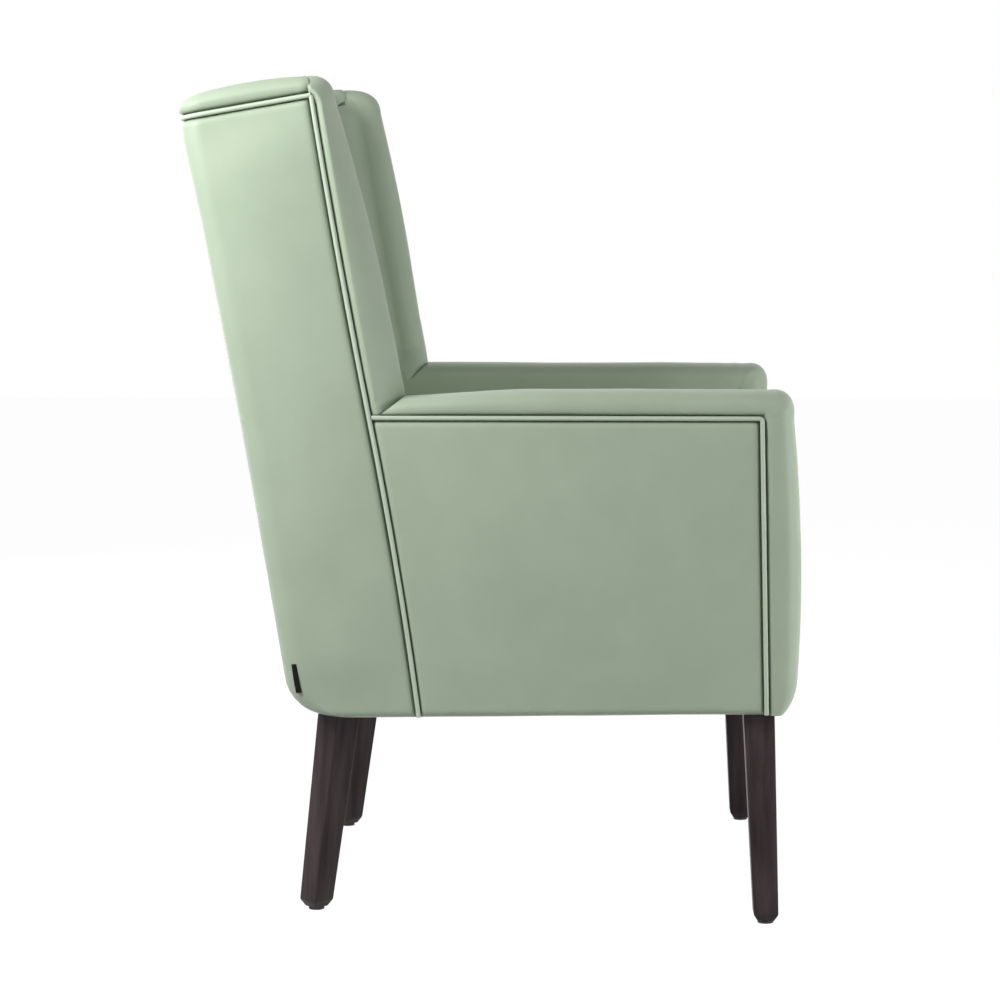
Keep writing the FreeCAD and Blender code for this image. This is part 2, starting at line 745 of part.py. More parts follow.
def side_tab():
    """Small folded ribbon tab, plain, on the rounded rear edge of the right side."""
    turn = math.radians(TAB_TURN)
    off = REAR_CORNER_R + TAB_THICK / 2
    x = SIDE_X - REAR_CORNER_R + off * math.cos(turn)
    y = rear_y(TAB_Z) - REAR_CORNER_R + off * math.sin(turn)
    lean = (rear_y(TAB_Z + 10.0) - rear_y(TAB_Z)) / 10.0 * math.sin(turn)
    tab = box(-TAB_WIDTH / 2, TAB_WIDTH / 2, 0.0, TAB_THICK, -TAB_HEIGHT / 2, TAB_HEIGHT / 2)
    tab.rotate(Vector(0, 0, 0), Vector(1, 0, 0), -math.degrees(math.atan(lean)))
    tab.rotate(Vector(0, 0, 0), Vector(0, 0, 1), 90.0 - TAB_TURN)
    tab.translate(Vector(-x, y, TAB_Z))
    return tab


def build_frame():
    legs = ((FRONT_LEG_TOP, FRONT_LEG_FOOT), (REAR_LEG_TOP, REAR_LEG_FOOT))
    bolts = [bolt(*each) for each in legs]
    glides = [glide(foot) for _, foot in legs]
    save_pair("side_panel", side_panel())
    save_pair("arm_inner_panel", arm_inner_panel())
    save_pair("arm_front_post", arm_front_post().cut(bolts[0]))
    save_pair("arm_top_rail", arm_top_rail())
    save("front_rail", front_rail())
    save("rear_rail", rear_rail())
    save("lumbar_rail", back_rail(*LUMBAR_RAIL_Z))
    save("top_rail", back_rail(*TOP_RAIL_Z))
    block = rear_leg_block().cut(bolts[1])
    save_group("rear_leg_blocks", [block, mirrored(block)])
    save_group("seat_webbing", seat_webbing())
    save_group("back_webbing", back_webbing(LUMBAR_RAIL_Z[0], TOP_RAIL_Z[1]))
    turns = (("leg_front", 0.0), ("leg_rear", 45.0))
    for (name, turn), ends, one_bolt in zip(turns, legs, bolts):
        save_pair(name, leg(*ends, turn).cut(one_bolt))
    save_group("leg_bolts", bolts + [mirrored(each) for each in bolts])
    save_group("glides", glides + [mirrored(each) for each in glides])
    save("dust_cover", dust_cover(bolts + [mirrored(each) for each in bolts]))


def build_back():
    board_rear = REAR_PLY_SET - BACK_BOARD
    save("outer_back_board", back_layer(REAR_PLY_SET, board_rear, PLY_X - WADDING))
    save("outer_back_wadding", back_layer(board_rear, VINYL, SIDE_X - REAR_CORNER_R))
    save_pair("back_wadding", back_wadding())
    save("outer_back_cover", outer_back_cover())
    foam = wing(wing_nose(PAD), PAD)
    save_pair("wing_foam", foam)
    save_pair("wing_cover", padded_wing().cut(foam))
    foam = top_block(PAD).cut(top_corner(PAD / 2))
    save("top_roll_foam", foam)
    save("top_roll_cover", top_roll().cut(foam))
    pad = inner_back(0.0)
    filling = inner_back(VINYL, 5.0)
    save("inner_back_foam", pad.common(filling))
    save("inner_back_cover", pad.cut(filling))
    save_pair("back_welt", back_welt())
    save("top_welt", top_welt())
    save("side_tab", side_tab())


def build_arms():
    side_wing = padded_wing()
    front_leg = leg(FRONT_LEG_TOP, FRONT_LEG_FOOT, 0.0)
    foam = arm_cap_block(PAD + 1.0).cut(arm_cap_foot(PAD + 1.0))
    save_pair("arm_cap_foam", foam.cut([side_wing, front_leg]))
    save_pair("arm_cap_cover", arm_cap().cut([foam, side_wing, front_leg]))
    save_pair("arm_inner_foam", arm_inner(ARM_INNER_X + VINYL, ARM_PLY_X))
    save_pair("arm_inner_cover", arm_inner(ARM_INNER_X, ARM_INNER_X + VINYL))
    save_pair("arm_wadding", arm_outer(PLY_X, PLY_X + WADDING))
    save_pair("arm_outer_cover", arm_outer(PLY_X + WADDING, SIDE_X))
    save_pair("arm_welt", arm_welt())


def build_seat():
    foam = seat(VINYL, (0.0, 1.0), (0.3,))
    save("seat_foam", foam)
    save("seat_cover", seat(0.0, (0.0, 0.25, 0.75, 1.0), (0.1, 0.3, 0.7)).cut(foam))
    save("seat_welt", seat_welt())
    foam = front_border(VINYL)
    save("front_border_foam", foam)
    save("front_border_cover", front_border(0.0).cut(foam))


build_frame()
build_back()
build_arms()
build_seat()
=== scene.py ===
import math

import bmesh
import bpy
import numpy as np
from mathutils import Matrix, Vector, noise


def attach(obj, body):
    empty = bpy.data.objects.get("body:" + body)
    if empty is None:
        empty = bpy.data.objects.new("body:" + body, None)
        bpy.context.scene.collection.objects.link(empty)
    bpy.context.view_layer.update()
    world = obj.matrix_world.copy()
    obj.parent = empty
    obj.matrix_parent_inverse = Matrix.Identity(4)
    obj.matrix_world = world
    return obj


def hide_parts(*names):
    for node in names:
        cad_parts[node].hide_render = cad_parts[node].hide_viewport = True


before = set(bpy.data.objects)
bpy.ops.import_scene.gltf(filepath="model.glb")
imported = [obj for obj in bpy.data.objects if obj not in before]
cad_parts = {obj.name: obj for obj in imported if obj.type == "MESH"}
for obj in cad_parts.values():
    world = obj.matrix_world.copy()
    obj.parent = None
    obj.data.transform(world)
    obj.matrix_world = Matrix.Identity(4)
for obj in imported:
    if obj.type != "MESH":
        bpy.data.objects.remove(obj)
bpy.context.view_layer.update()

# Millimetres, in the part's frame: +Z up, the chair faces -Y, the sitter's left is +X
MM = 0.001
SIDES = {"left": 1.0, "right": -1.0}
SIDE_X = 326.0
ARM_INNER_X = 234.0
PLY_X = 318.5
UNDERSIDE_Z = 258.0
FOOT_Z = 300.0
FOOT_DROP = 43.0
HEM_Z = 258.8
HEM_Y = -60.0
HEM_SLOPE = 0.012
HEM_EASE = 2.0

# Seams: the gap and flat lap under the piping, the turn-in beside it, how far the painted shade of seams
# reaches, the piping, where the hidden side of a roll ends, and how far from a seam the first points of a
# panel are
GAP = 0.8
LAP = 2.8
TUCK = 6.5
TUCK_REACH = 8.0
SEAM_SHADE = 8.0
WELT_R = 2.9
WELT_X = 324.5
ROLL_BACK_X = 317.0
ROLL_SET = 1.0
EDGE_STEPS = np.array([0.0, 2.5, 2.9, 3.4, 4.3, 5.6, 7.4, 9.8, 13.0])

# Back
SEAM_FOOT = (88.5, UNDERSIDE_Z)
SEAM_WAIST = (146.8, 618.6)
SEAM_HEAD = (216.6, 1016.0)
SEAM_WAIST_SLOPE = 0.195
REAR_LINE = ((253.3, 290.0), (321.8, 690.0), (382.5, 990.0))
REAR_CORNER_R = 28.0
REAR_FOOT_DEPTH = 46.0
REAR_HEAD_Z = 955.0
REAR_HEAD_RISE = 36.0
REAR_HEAD_DEPTH = 4.5
BACK_RISE = 740.0
BACK_SIDE_DEPTH = 150.0
BACK_LINING = 7.5
SIDE_PUFF = 6.5
PUFF_FADE = 80.0

# Wings, with the heights of their stations as runs of (from, to, how many)
WING_FRONT = ((110.7, 676.0), (147.9, 856.0), (193.3, 1021.8))
WING_RUNS = ((642.0, 700.0, 24), (706.0, 1004.0, 50))
WING_IN_X = 262.0
WING_CORE_X = 300.0
WING_LAP = 12.0
WING_INNER_DEPTH = 28.0
WING_FOOT_DRAW = 0.3
WING_FLARE_Z = 685.0
WING_FLARE = 45.0
WING_BEND_Z = 1008.0
WING_BEND = (191.5, 1043.0)
WING_TIP = (224.0, 1040.0)
WING_HEAD_BACK = 3.0
WING_POWERS = (1.25, 2.3)
WING_LEAD = 15.0
LEAD_Z = 720.0
LEAD_RISE = 270.0
LEAD_POWER = 1.3
MITRE_DRAW = 4.0
MITRE_SHARE = 0.2
MITRE_REACH = 10.0

# Top roll, with the curves of its front face where it meets a wing and between the wings
TOP_SLOPE = 0.1727
TOP_LINE = ((199.0, 1040.2), (292.0, 1033.0), (388.0, 1009.6))
TOP_REAR_Y = 378.0
TOP_WELT_Y = 375.7
TOP_WELT_INSET = 1.5
TOP_RIDGE_Y = 290.0
TOP_HEIGHT = 24.5
TOP_ROUND = 30.0
TOP_FLAT = 47.0
TOP_MIN_R = 5.0
TOP_BULGE = 3.4
TOP_CROWN = 3.0
TOP_DISH = 6.0
TOP_AT_WING = ((222.0, 998.0), (214.0, 1037.0), (227.0, 1040.0))
TOP_BETWEEN = ((242.0, 992.0), (222.0, 1037.0), (248.0, 1038.6))
TOP_STEP_X = 236.0
TOP_STEP = 28.0

# Inner back, whose turn-ins at the sides and top are in multiples of TUCK
BACK_PAD_DEPTH = 45.0
BACK_HALF = 232.5
BACK_OVERLAP = 1.3
BACK_PAD_FOOT = 6.0
BACK_PAD_HEAD = 2.0
BACK_PAD_TAPER = 0.99
BACK_PAD_CLEAR = 2.0
BACK_SIDE_SET = 17.0
BACK_CROWN = 5.0
LUMBAR = 8.0
LUMBAR_Z = 590.0
LUMBAR_SPREAD = 130.0
HEAD_SET = 14.0
HEAD_SET_Z = 800.0
HEAD_SET_RISE = 180.0
SIDE_TUCKS = 2.0
SIDE_TUCK_REACH = 14.0
SIDE_TUCK_END_Z = 930.0
SIDE_TUCK_END = 60.0
HEAD_TUCKS = 1.5
HEAD_TUCK_REACH = 30.0

# Arm
ARM_SEAM_Z = 626.0
ARM_TOP_Z = 658.5
ARM_REAR_Y = 139.0
ARM_REAR_TUCK = 2.0
ARM_REAR_TUCK_Y = 118.0
ARM_LEAN = 32.0
ARM_LEAN_Y = 10.0
ARM_DIP = 9.0
ARM_DIP_Y = -60.0
ARM_DIP_RUN = 180.0
ARM_DEPTH = 440.0
ARM_PUFF = 3.5
ARM_HEM_FRONT_Y = -335.0
ARM_HEM_RUN = 423.0
FRONT_SEAM_TOP_Y = -330.0
FRONT_SEAM_FOOT_Y = -338.5
CAP_FRONT_Y = -381.5
CAP_FULL_Z = 420.0
CAP_BEND = 0.000258
CAP_FOOT_DEPTH = 25.0
CAP_FOOT_Z = 295.0
CAP_FOOT_Y = -350.0
CAP_FOOT_STEPS = np.array([0.0, 0.6, 1.6, 3.2, 5.5, 9.0, 13.5, 19.0, 26.0])
CAP_CORNER_Y = -348.0
CAP_CORNER_PULL_Y = -374.5
CAP_CORNER_Z = 621.0
CAP_FAN_STEP = 2.0
CAP_UPRIGHT_STEP = 6.0
CAP_HEM_LAP = 1.0
CAP_LAP = 8.0
CAP_POWERS = (2.8, 2.8)
LIP_START = 3.5
INNER_LIP = 14.0
LIP_LAP = 4.0
LIP_TOP = 4.0
LIP_FOLD = ((0.0, 3.0), (0.4, 0.6), (6.0, 0.0))
LIP_BACK = 12.0
ARM_INNER_RISE = 8.0
ARM_INNER_DEPTH = 480.0
ARM_INNER_BEHIND = 20.0
ARM_INNER_TUCKS = 0.15
ARM_INNER_LINING = 15.0
ARM_WELT_CORNER = 4.0
ARM_WELT_STEP = 1.0

# Seat
SEAT_FRONT_Y = -373.0
SEAT_BASE_Z = 352.0
SEAT_EDGE_Z = 455.0
SEAT_TOP_Z = 481.0
SEAT_CORNER_R = 26.0
SEAT_CORNER_MIN_R = 8.0
SEAT_CORNER_SHRINK = 0.1
SEAT_REAR_GAP = 1.0
SEAT_FLAT_INSET = 200.0
SEAT_WALL_POWER = 0.7
SEAT_CROWN_POWER = 2.6
SEAT_WELT_R = 3.0
SEAT_WELT_LIFT = 25.0
SEAT_WELT_CLEAR = 0.1
BORDER_FRONT_Y = -358.0
BORDER_REAR_Y = -344.0
BORDER_CROWN = 9.0
BORDER_OVERLAP = 3.0
BORDER_RISE = 8.0

# Ribbon tab
TAB_Z = 305.0
TAB_TURN = 22.0
TAB_CLEAR = 1.2
TAB_HALF_LENGTH = 18.0
TAB_HALF_WIDTH = 3.4
TAB_THICKNESS = 1.4
TAB_WAVE = 0.5
TAB_WAVE_TURN = 2.0
TAB_LEAN_RUN = 5.0
TAB_CROWN = 0.25

# Legs: the middle of each left leg's top and foot, and its turn in degrees
LEG_TOP = 38.5
LEG_FOOT = 30.5
LEG_TOP_Z = 266.5
LEG_EDGE = 1.6
LEG_EDGE_CUTS = 3
LEG_EDGE_ANGLE = 20.0
GLIDE_H = 3.0
GLIDE_R = 10.0
TIP_H = 9.0
LEGS = {
    "front": ((288.0, -330.0), (310.0, -340.0), 0.0),
    "rear": ((258.0, 190.0), (253.0, 222.0), 45.0),
}

# Padding: waves of its unevenness per metre, where folds are highest as a share of their reach and how
# widely they spread about it, and the angle in degrees of a sharp edge
SWELLS_PER_M = 9.0
PUCKERS_PER_M = 42.0
FOLD_PEAK = 0.5
FOLD_SPREAD = 0.3
SHARP_ANGLE = 50.0

# Camera and light, in metres, degrees and watts, but lens and sensor in millimetres. Each lamp has a place,
# a target, a size and a power
CAMERA_PLACE = (-4.029, -0.115, 0.909)
CAMERA_YAW = 1.6
CAMERA_PITCH = 5.9
LENS = 110.0
SENSOR = 36.0
CAMERA_REACH = 50.0
LAMPS = {
    "key": ((-1.05, 1.1, 1.4), (-0.33, 0.25, 0.8), 0.65, 20.5),
    "fill": ((-0.7, -1.5, 0.5), (-0.3, -0.36, 0.5), 0.8, 9.0),
    "top": ((-0.75, 0.4, 1.55), (-0.3, 0.1, 0.9), 0.5, 1.4),
    "front": ((0.6, -2.6, 1.5), (0.0, -0.1, 0.6), 1.6, 10.0),
    "far_side": ((2.2, 2.2, 1.1), (0.1, 0.1, 0.55), 1.8, 46.0),
}
AMBIENT = 0.1
FLOOR_REACH = 9.0
FLOOR_GREY = 0.5
FLOOR_SHADE = 0.15
FLOOR_GLOW = 0.965
WHITE = (1.0, 1.0, 1.0, 1.0)


# Curves of the side view

def arc_line(points):
    """Y at height z, or at an array of heights, on the circle through three side points."""
    (a, b), (c, d), (e, f) = points
    matrix = np.array([[c - a, d - b], [e - a, f - b]])
    sums = np.array([c * c - a * a + d * d - b * b, e * e - a * a + f * f - b * b]) / 2
    centre = np.linalg.solve(matrix, sums)
    radius = math.hypot(a - centre[0], b - centre[1])
    side = math.copysign(1.0, a - centre[0])
    return lambda z: centre[0] + side * np.sqrt(radius**2 - (z - centre[1]) ** 2)


def seam_circle(end):
    """Centre and radius of the side seam's arc from its waist to one end."""
    waist = np.array(SEAM_WAIST)
    across = np.array([1.0, -SEAM_WAIST_SLOPE])
    across /= np.linalg.norm(across)
    chord = np.array(end) - waist
    radius = chord @ chord / (2 * chord @ across)
    return waist + across * radius, radius


LOWER_SEAM = seam_circle(SEAM_FOOT)
UPPER_SEAM = seam_circle(SEAM_HEAD)
rear_y = arc_line(REAR_LINE)
wing_front_y = arc_line(WING_FRONT)


def seam_y(z):
    """Y of the back's side seam at height z."""
    centre, radius = LOWER_SEAM if z < SEAM_WAIST[1] else UPPER_SEAM
    return centre[0] - math.copysign(math.sqrt(radius**2 - (z - centre[1]) ** 2), radius)


def top_seam_z(y):
    """Height of the seam under the top roll."""
    return SEAM_HEAD[1] - TOP_SLOPE * (y - SEAM_HEAD[0])


def crown_z(y):
    """Top of the roll: the arc of TOP_LINE, read across instead of up."""
    return arc_line([(z, y) for y, z in TOP_LINE])(y)


def wing_lead(sign, z):
    """How much further forward the left wing stands near its top, as in the photograph."""
    share = max(0.0, (z - LEAD_Z) / LEAD_RISE)
    return WING_LEAD * share**LEAD_POWER if sign > 0 else 0.0


def arm_dip(sign, y):
    """How far the right arm's padding sinks towards the wing, as in the photograph."""
    return ARM_DIP * smooth((y - ARM_DIP_Y) / ARM_DIP_RUN) if sign < 0 else 0.0


def foot_round(z, depth):
    """How far an upright face draws in towards the underside."""
    share = np.clip((FOOT_Z - z) / FOOT_DROP, 0.0, 1.0)
    return depth * (1.0 - np.sqrt(1.0 - share**2))


def back_rear_y(z):
    """The rear face, drawn in at its foot and a little below the top seam."""
    head = np.clip((z - REAR_HEAD_Z) / REAR_HEAD_RISE, 0.0, 1.0)
    return rear_y(z) - foot_round(z, REAR_FOOT_DEPTH) - REAR_HEAD_DEPTH * head**2


def front_seam_y(z):
    """Y of the arm's front seam at height z."""
    share = (z - UNDERSIDE_Z) / (ARM_SEAM_Z - UNDERSIDE_Z)
    return FRONT_SEAM_FOOT_Y + share * (FRONT_SEAM_TOP_Y - FRONT_SEAM_FOOT_Y)


def hem_z(y):
    """Lower edge of the covers, which hangs a little lower towards the rear."""
    return HEM_Z - HEM_SLOPE * (y - HEM_Y)


def cap_front_y(z):
    """Front of the arm's band, bowed forward and drawn in at its foot."""
    return CAP_FRONT_Y + CAP_BEND * (z - CAP_FULL_Z) ** 2 + foot_round(z, CAP_FOOT_DEPTH)


def bezier(a, b, c, t):
    """A point on the curve from a to c that is drawn towards b."""
    a, b, c = np.array(a), np.array(b), np.array(c)
    return (1 - t) ** 2 * a + 2 * t * (1 - t) * b + t**2 * c


# Meshes

def grid_faces(rows, cols, wrap=False, start=0):
    """Faces of a grid of points, closed round each row where wrap is set."""
    faces = []
    for i in range(rows - 1):
        for j in range(cols if wrap else cols - 1):
            k = (j + 1) % cols
            a = start + i * cols
            faces.append((a + j, a + k, a + cols + k, a + cols + j))
    return faces


def add_piece(name, points, faces, look, nodes):
    """A mesh piece of the chair that stands for CAD nodes."""
    slot, material = look
    mesh = bpy.data.meshes.new(name)
    mesh.from_pydata((np.asarray(points) * MM).tolist(), [], faces)
    bm = bmesh.new()
    bm.from_mesh(mesh)
    bmesh.ops.recalc_face_normals(bm, faces=bm.faces)
    bm.to_mesh(mesh)
    bm.free()
    mesh.shade_smooth()
    mesh.set_sharp_from_angle(angle=math.radians(SHARP_ANGLE))
    mesh.materials.append(material)
    piece = bpy.data.objects.new(name, mesh)
    bpy.context.scene.collection.objects.link(piece)
    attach(piece, "root")
    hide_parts(*nodes)
    return piece


def add_tube(name, rows, look, nodes):
    """A closed piece through rings of points."""
    rows = np.array(rows)
    count, ring = rows.shape[:2]
    faces = grid_faces(count, ring, wrap=True)
    faces += [tuple(range(ring)), tuple(range((count - 1) * ring, count * ring))]
    return add_piece(name, rows.reshape(-1, 3), faces, look, nodes)


def add_pad(name, outer, inner, look, nodes):
    """A closed pad between an outer and an inner grid of points, stitched round the border."""
    rows, cols = outer.shape[:2]
    half = rows * cols
    faces = grid_faces(rows, cols) + grid_faces(rows, cols, start=half)
    border = list(range(cols))
    border += [i * cols + cols - 1 for i in range(1, rows)]
    border += [(rows - 1) * cols + j for j in range(cols - 2, -1, -1)]
    border += [i * cols for i in range(rows - 2, 0, -1)]
    for a, b in zip(border, border[1:] + border[:1]):
        faces.append((a, b, b + half, a + half))
    points = np.concatenate([outer.reshape(-1, 3), inner.reshape(-1, 3)])
    return add_piece(name, points, faces, look, nodes)


def ripple(piece, broad, fine):
    """Soft unevenness of padding under vinyl, along the normals: broad swells and fine puckers."""
    normals = [vertex.normal.copy() for vertex in piece.data.vertices]
    for vertex, normal in zip(piece.data.vertices, normals):
        wave = broad * noise.noise(vertex.co * SWELLS_PER_M)
        pucker = fine * noise.noise(vertex.co * PUCKERS_PER_M)
        vertex.co += normal * (wave + pucker) * MM


def gather(piece, corner, height, reach, folds):
    """Small folds that fan out from a corner of the seams and fade towards it and beyond their reach."""
    normals = [vertex.normal.copy() for vertex in piece.data.vertices]
    for vertex, normal in zip(piece.data.vertices, normals):
        y = vertex.co.y / MM - corner[0]
        z = vertex.co.z / MM - corner[1]
        fade = math.exp(-((math.hypot(y, z) / reach - FOLD_PEAK) / FOLD_SPREAD) ** 2)
        vertex.co += normal * height * fade * math.cos(folds * math.atan2(z, y)) * MM


def stops(length, step):
    """Distances along a panel, closer together at its two sewn edges."""
    count = max(3, int(length / step))
    middle = np.linspace(EDGE_STEPS[-1], length - EDGE_STEPS[-1], count)
    return np.concatenate([EDGE_STEPS[:-1], middle, length - EDGE_STEPS[-2::-1]])


def drop(distance, reach=TUCK_REACH):
    """How far a padded face turns in towards a seam, to lie flat under the piping."""
    share = np.clip((np.asarray(distance) - LAP) / reach, 0.0, 1.0)
    return TUCK * (1.0 - np.sqrt(1.0 - (1.0 - share) ** 2))


def drops(*distances):
    """The turn-in near several seams together, at most TUCK deep."""
    left = 1.0
    for distance in distances:
        left = left * (1.0 - drop(distance) / TUCK)
    return TUCK * (1.0 - left)


def smooth(share):
    """0 to 1, with an easy start and end."""
    share = np.clip(share, 0.0, 1.0)
    return share * share * (3.0 - 2.0 * share)


def swell(u, v):
    """0 at the edges of a panel, 1 in its middle."""
    return np.sin(math.pi * u) * np.sin(math.pi * v)


# Materials

def srgb(red, green, blue):
    """A colour as it is written on screen, 0 to 255, for a shader."""
    def linear(value):
        value /= 255.0
        return value / 12.92 if value <= 0.04045 else ((value + 0.055) / 1.055) ** 2.4

    return (linear(red), linear(green), linear(blue), 1.0)


def new_material(name):
    """A material with its nodes, links and main shader."""
    material = bpy.data.materials.new(name)
    material.use_nodes = True
    nodes = material.node_tree.nodes
    return material, nodes, material.node_tree.links, nodes["Principled BSDF"]


def add_noise(nodes, links, coords, scale, detail):
    """A cloudy value at coords, 0 to 1."""
    texture = nodes.new("ShaderNodeTexNoise")
    texture.inputs["Scale"].default_value = scale
    texture.inputs["Detail"].default_value = detail
    links.new(coords, texture.inputs["Vector"])
    return texture.outputs["Fac"]


def add_ramp(nodes, links, value, stops_and_colours):
    """A colour that runs with value through pairs of (position, colour)."""
    ramp = nodes.new("ShaderNodeValToRGB")
    elements = ramp.color_ramp.elements
    while len(elements) < len(stops_and_colours):
        elements.new(0.5)
    for element, (position, colour) in zip(elements, stops_and_colours):
        element.position = position
        element.color = colour
    links.new(value, ramp.inputs["Fac"])
    return ramp.outputs["Color"]


def add_bump(nodes, links, height, strength, distance, below=None):
    """A normal tilted by height, on top of the normal below where one is given."""
    bump = nodes.new("ShaderNodeBump")
    bump.inputs["Strength"].default_value = strength
    bump.inputs["Distance"].default_value = distance
    links.new(height, bump.inputs["Height"])
    if below:
        links.new(below, bump.inputs["Normal"])
    return bump.outputs["Normal"]


def add_roughness(nodes, links, value, shader, middle, spread_by):
    """Roughness that varies with value about its middle."""
    spread = nodes.new("ShaderNodeMapRange")
    spread.inputs["To Min"].default_value = middle - spread_by
    spread.inputs["To Max"].default_value = middle + spread_by
    links.new(value, spread.inputs["Value"])
    links.new(spread.outputs["Result"], shader.inputs["Roughness"])


def object_coords(nodes, links, scale=(1.0, 1.0, 1.0)):
    """Places in the part's frame, in metres, times scale."""
    coords = nodes.new("ShaderNodeTexCoord")
    mapping = nodes.new("ShaderNodeMapping")
    mapping.inputs["Scale"].default_value = scale
    links.new(coords.outputs["Object"], mapping.inputs["Vector"])
    return mapping.outputs["Vector"]


def vinyl(name, dark, light, roughness, specular):
    """Satin upholstery vinyl: fine pebbled grain, faint mottling, soft creases, and painted shade that
    darkens it in seams and crevices.
    """
    material, nodes, links, shader = new_material(name)
    coords = object_coords(nodes, links)
    mottle = add_noise(nodes, links, coords, scale=14.0, detail=3.0)
    colour = add_ramp(nodes, links, mottle, [(0.3, dark), (0.7, light)])
    # Painted shade: ambient occlusion within SEAM_SHADE darkens the colour towards the crevice shade colour
    # in seams, crevices and where parts meet
    seams = nodes.new("ShaderNodeAmbientOcclusion")
    seams.samples = 6
    seams.inputs["Distance"].default_value = SEAM_SHADE * MM
    shade = nodes.new("ShaderNodeMix")
    shade.data_type = "RGBA"
    shade.inputs["A"].default_value = PAINTED_CREVICE_SHADE
    links.new(seams.outputs["AO"], shade.inputs["Factor"])
    links.new(colour, shade.inputs["B"])
    links.new(shade.outputs["Result"], shader.inputs["Base Color"])
    grain = nodes.new("ShaderNodeTexVoronoi")
    grain.inputs["Scale"].default_value = 900.0
    links.new(coords, grain.inputs["Vector"])
    crease = add_noise(nodes, links, coords, scale=55.0, detail=2.0)
    normal = add_bump(nodes, links, crease, strength=0.12, distance=0.002)
    pebbles = grain.outputs["Distance"]
    normal = add_bump(nodes, links, pebbles, strength=0.10, distance=0.0003, below=normal)
    links.new(normal, shader.inputs["Normal"])
    add_roughness(nodes, links, mottle, shader, middle=roughness, spread_by=0.05)
    shader.inputs["Specular IOR Level"].default_value = specular
    return material


def wood(name, dark, light, grain_scale, roughness):
    """Straight-grained timber, with the grain running up the piece."""
    material, nodes, links, shader = new_material(name)
    coords = object_coords(nodes, links, grain_scale)
    grain = add_noise(nodes, links, coords, scale=1.0, detail=8.0)
    colour = add_ramp(nodes, links, grain, [(0.35, dark), (0.65, light)])
    links.new(colour, shader.inputs["Base Color"])
    normal = add_bump(nodes, links, grain, strength=0.12, distance=0.0004)
    links.new(normal, shader.inputs["Normal"])
    add_roughness(nodes, links, grain, shader, middle=roughness, spread_by=0.06)
    shader.inputs["Specular IOR Level"].default_value = 0.1
    return material


def woven(name, dark, light, pitch):
    """Plain woven cloth or webbing: two crossed waves raise the threads, a pitch of millimetres apart."""
    bands_per_scale = 3.2
    material, nodes, links, shader = new_material(name)
    coords = object_coords(nodes, links)
    waves = []
    for direction in ("X", "Z"):
        wave = nodes.new("ShaderNodeTexWave")
        wave.bands_direction = direction
        wave.inputs["Scale"].default_value = 1.0 / (pitch * MM) / bands_per_scale
        wave.inputs["Distortion"].default_value = 0.4
        links.new(coords, wave.inputs["Vector"])
        waves.append(wave.outputs["Fac"])
    weave = nodes.new("ShaderNodeMath")
    weave.operation = "MULTIPLY"
    links.new(waves[0], weave.inputs[0])
    links.new(waves[1], weave.inputs[1])
    colour = add_ramp(nodes, links, weave.outputs[0], [(0.0, dark), (1.0, light)])
    links.new(colour, shader.inputs["Base Color"])
    normal = add_bump(nodes, links, weave.outputs[0], strength=0.4, distance=0.0006)
    links.new(normal, shader.inputs["Normal"])
    shader.inputs["Roughness"].default_value = 0.85
    shader.inputs["Specular IOR Level"].default_value = 0.2
    return material


def speckled(name, dark, light, scale, roughness, metallic=0.0):
    """Moulded plastic, board or plated steel: fine specks over an even colour."""
    material, nodes, links, shader = new_material(name)
    speck = add_noise(nodes, links, object_coords(nodes, links), scale, detail=5.0)
    colour = add_ramp(nodes, links, speck, [(0.3, dark), (0.7, light)])
    links.new(colour, shader.inputs["Base Color"])
    normal = add_bump(nodes, links, speck, strength=0.1, distance=0.0003)
    links.new(normal, shader.inputs["Normal"])
    add_roughness(nodes, links, speck, shader, middle=roughness, spread_by=0.05)
    shader.inputs["Metallic"].default_value = metallic
    return material


# Each look is a slot of the record and a material
# Painted shade: the colour the vinyl is darkened to in seams and crevices
PAINTED_CREVICE_SHADE = srgb(138, 154, 131)
SAGE = ("sage_vinyl", vinyl("sage_vinyl", srgb(180, 196, 173), srgb(186, 202, 179),
                            roughness=0.41, specular=0.3))
# The piping is the same vinyl painted lighter, a painted highlight along its ridge
PIPING = ("sage_vinyl", vinyl("sage_piping_painted_highlight", srgb(202, 217, 196), srgb(208, 223, 202),
                              roughness=0.30, specular=0.5))
LEG_WOOD = ("leg_wood", wood("leg_wood", srgb(54, 45, 47), srgb(82, 71, 73),
                             grain_scale=(70, 70, 5), roughness=0.38))
TAB_CLOTH = ("black_cloth", woven("tab_cloth", srgb(8, 10, 8), srgb(22, 26, 21), pitch=0.6))

# Materials of the frame, whose solids show as they are in the CAD model
FRAME_LOOKS = {
    "plywood": wood("plywood", srgb(184, 148, 104), srgb(214, 182, 138),
                    grain_scale=(40, 40, 8), roughness=0.6),
    "beech": wood("beech", srgb(190, 142, 98), srgb(220, 178, 134),
                  grain_scale=(60, 60, 6), roughness=0.55),
    "fibreboard": speckled("fibreboard", srgb(120, 90, 62), srgb(148, 114, 82),
                           scale=300.0, roughness=0.8),
    "webbing": woven("webbing", srgb(60, 60, 58), srgb(128, 126, 120), pitch=2.0),
    "black_cloth": woven("black_cloth", srgb(12, 12, 13), srgb(34, 34, 36), pitch=0.8),
    "stud_steel": speckled("stud_steel", srgb(150, 150, 154), srgb(182, 182, 186),
                           scale=500.0, roughness=0.35, metallic=1.0),
    "glide_plastic": speckled("glide_plastic", srgb(28, 28, 30), srgb(42, 42, 44),
                              scale=400.0, roughness=0.5),
}
FRAME_NODES = {
    "plywood": ["side_panel_left", "side_panel_right", "arm_inner_panel_left", "arm_inner_panel_right"],
    "beech": ["arm_front_post_left", "arm_front_post_right", "arm_top_rail_left", "arm_top_rail_right",
              "front_rail", "rear_rail", "lumbar_rail", "top_rail", "rear_leg_blocks"],
    "fibreboard": ["outer_back_board"],
    "webbing": ["seat_webbing", "back_webbing"],
    "black_cloth": ["dust_cover"],
    "stud_steel": ["leg_bolts"],
    "glide_plastic": ["glides"],
}


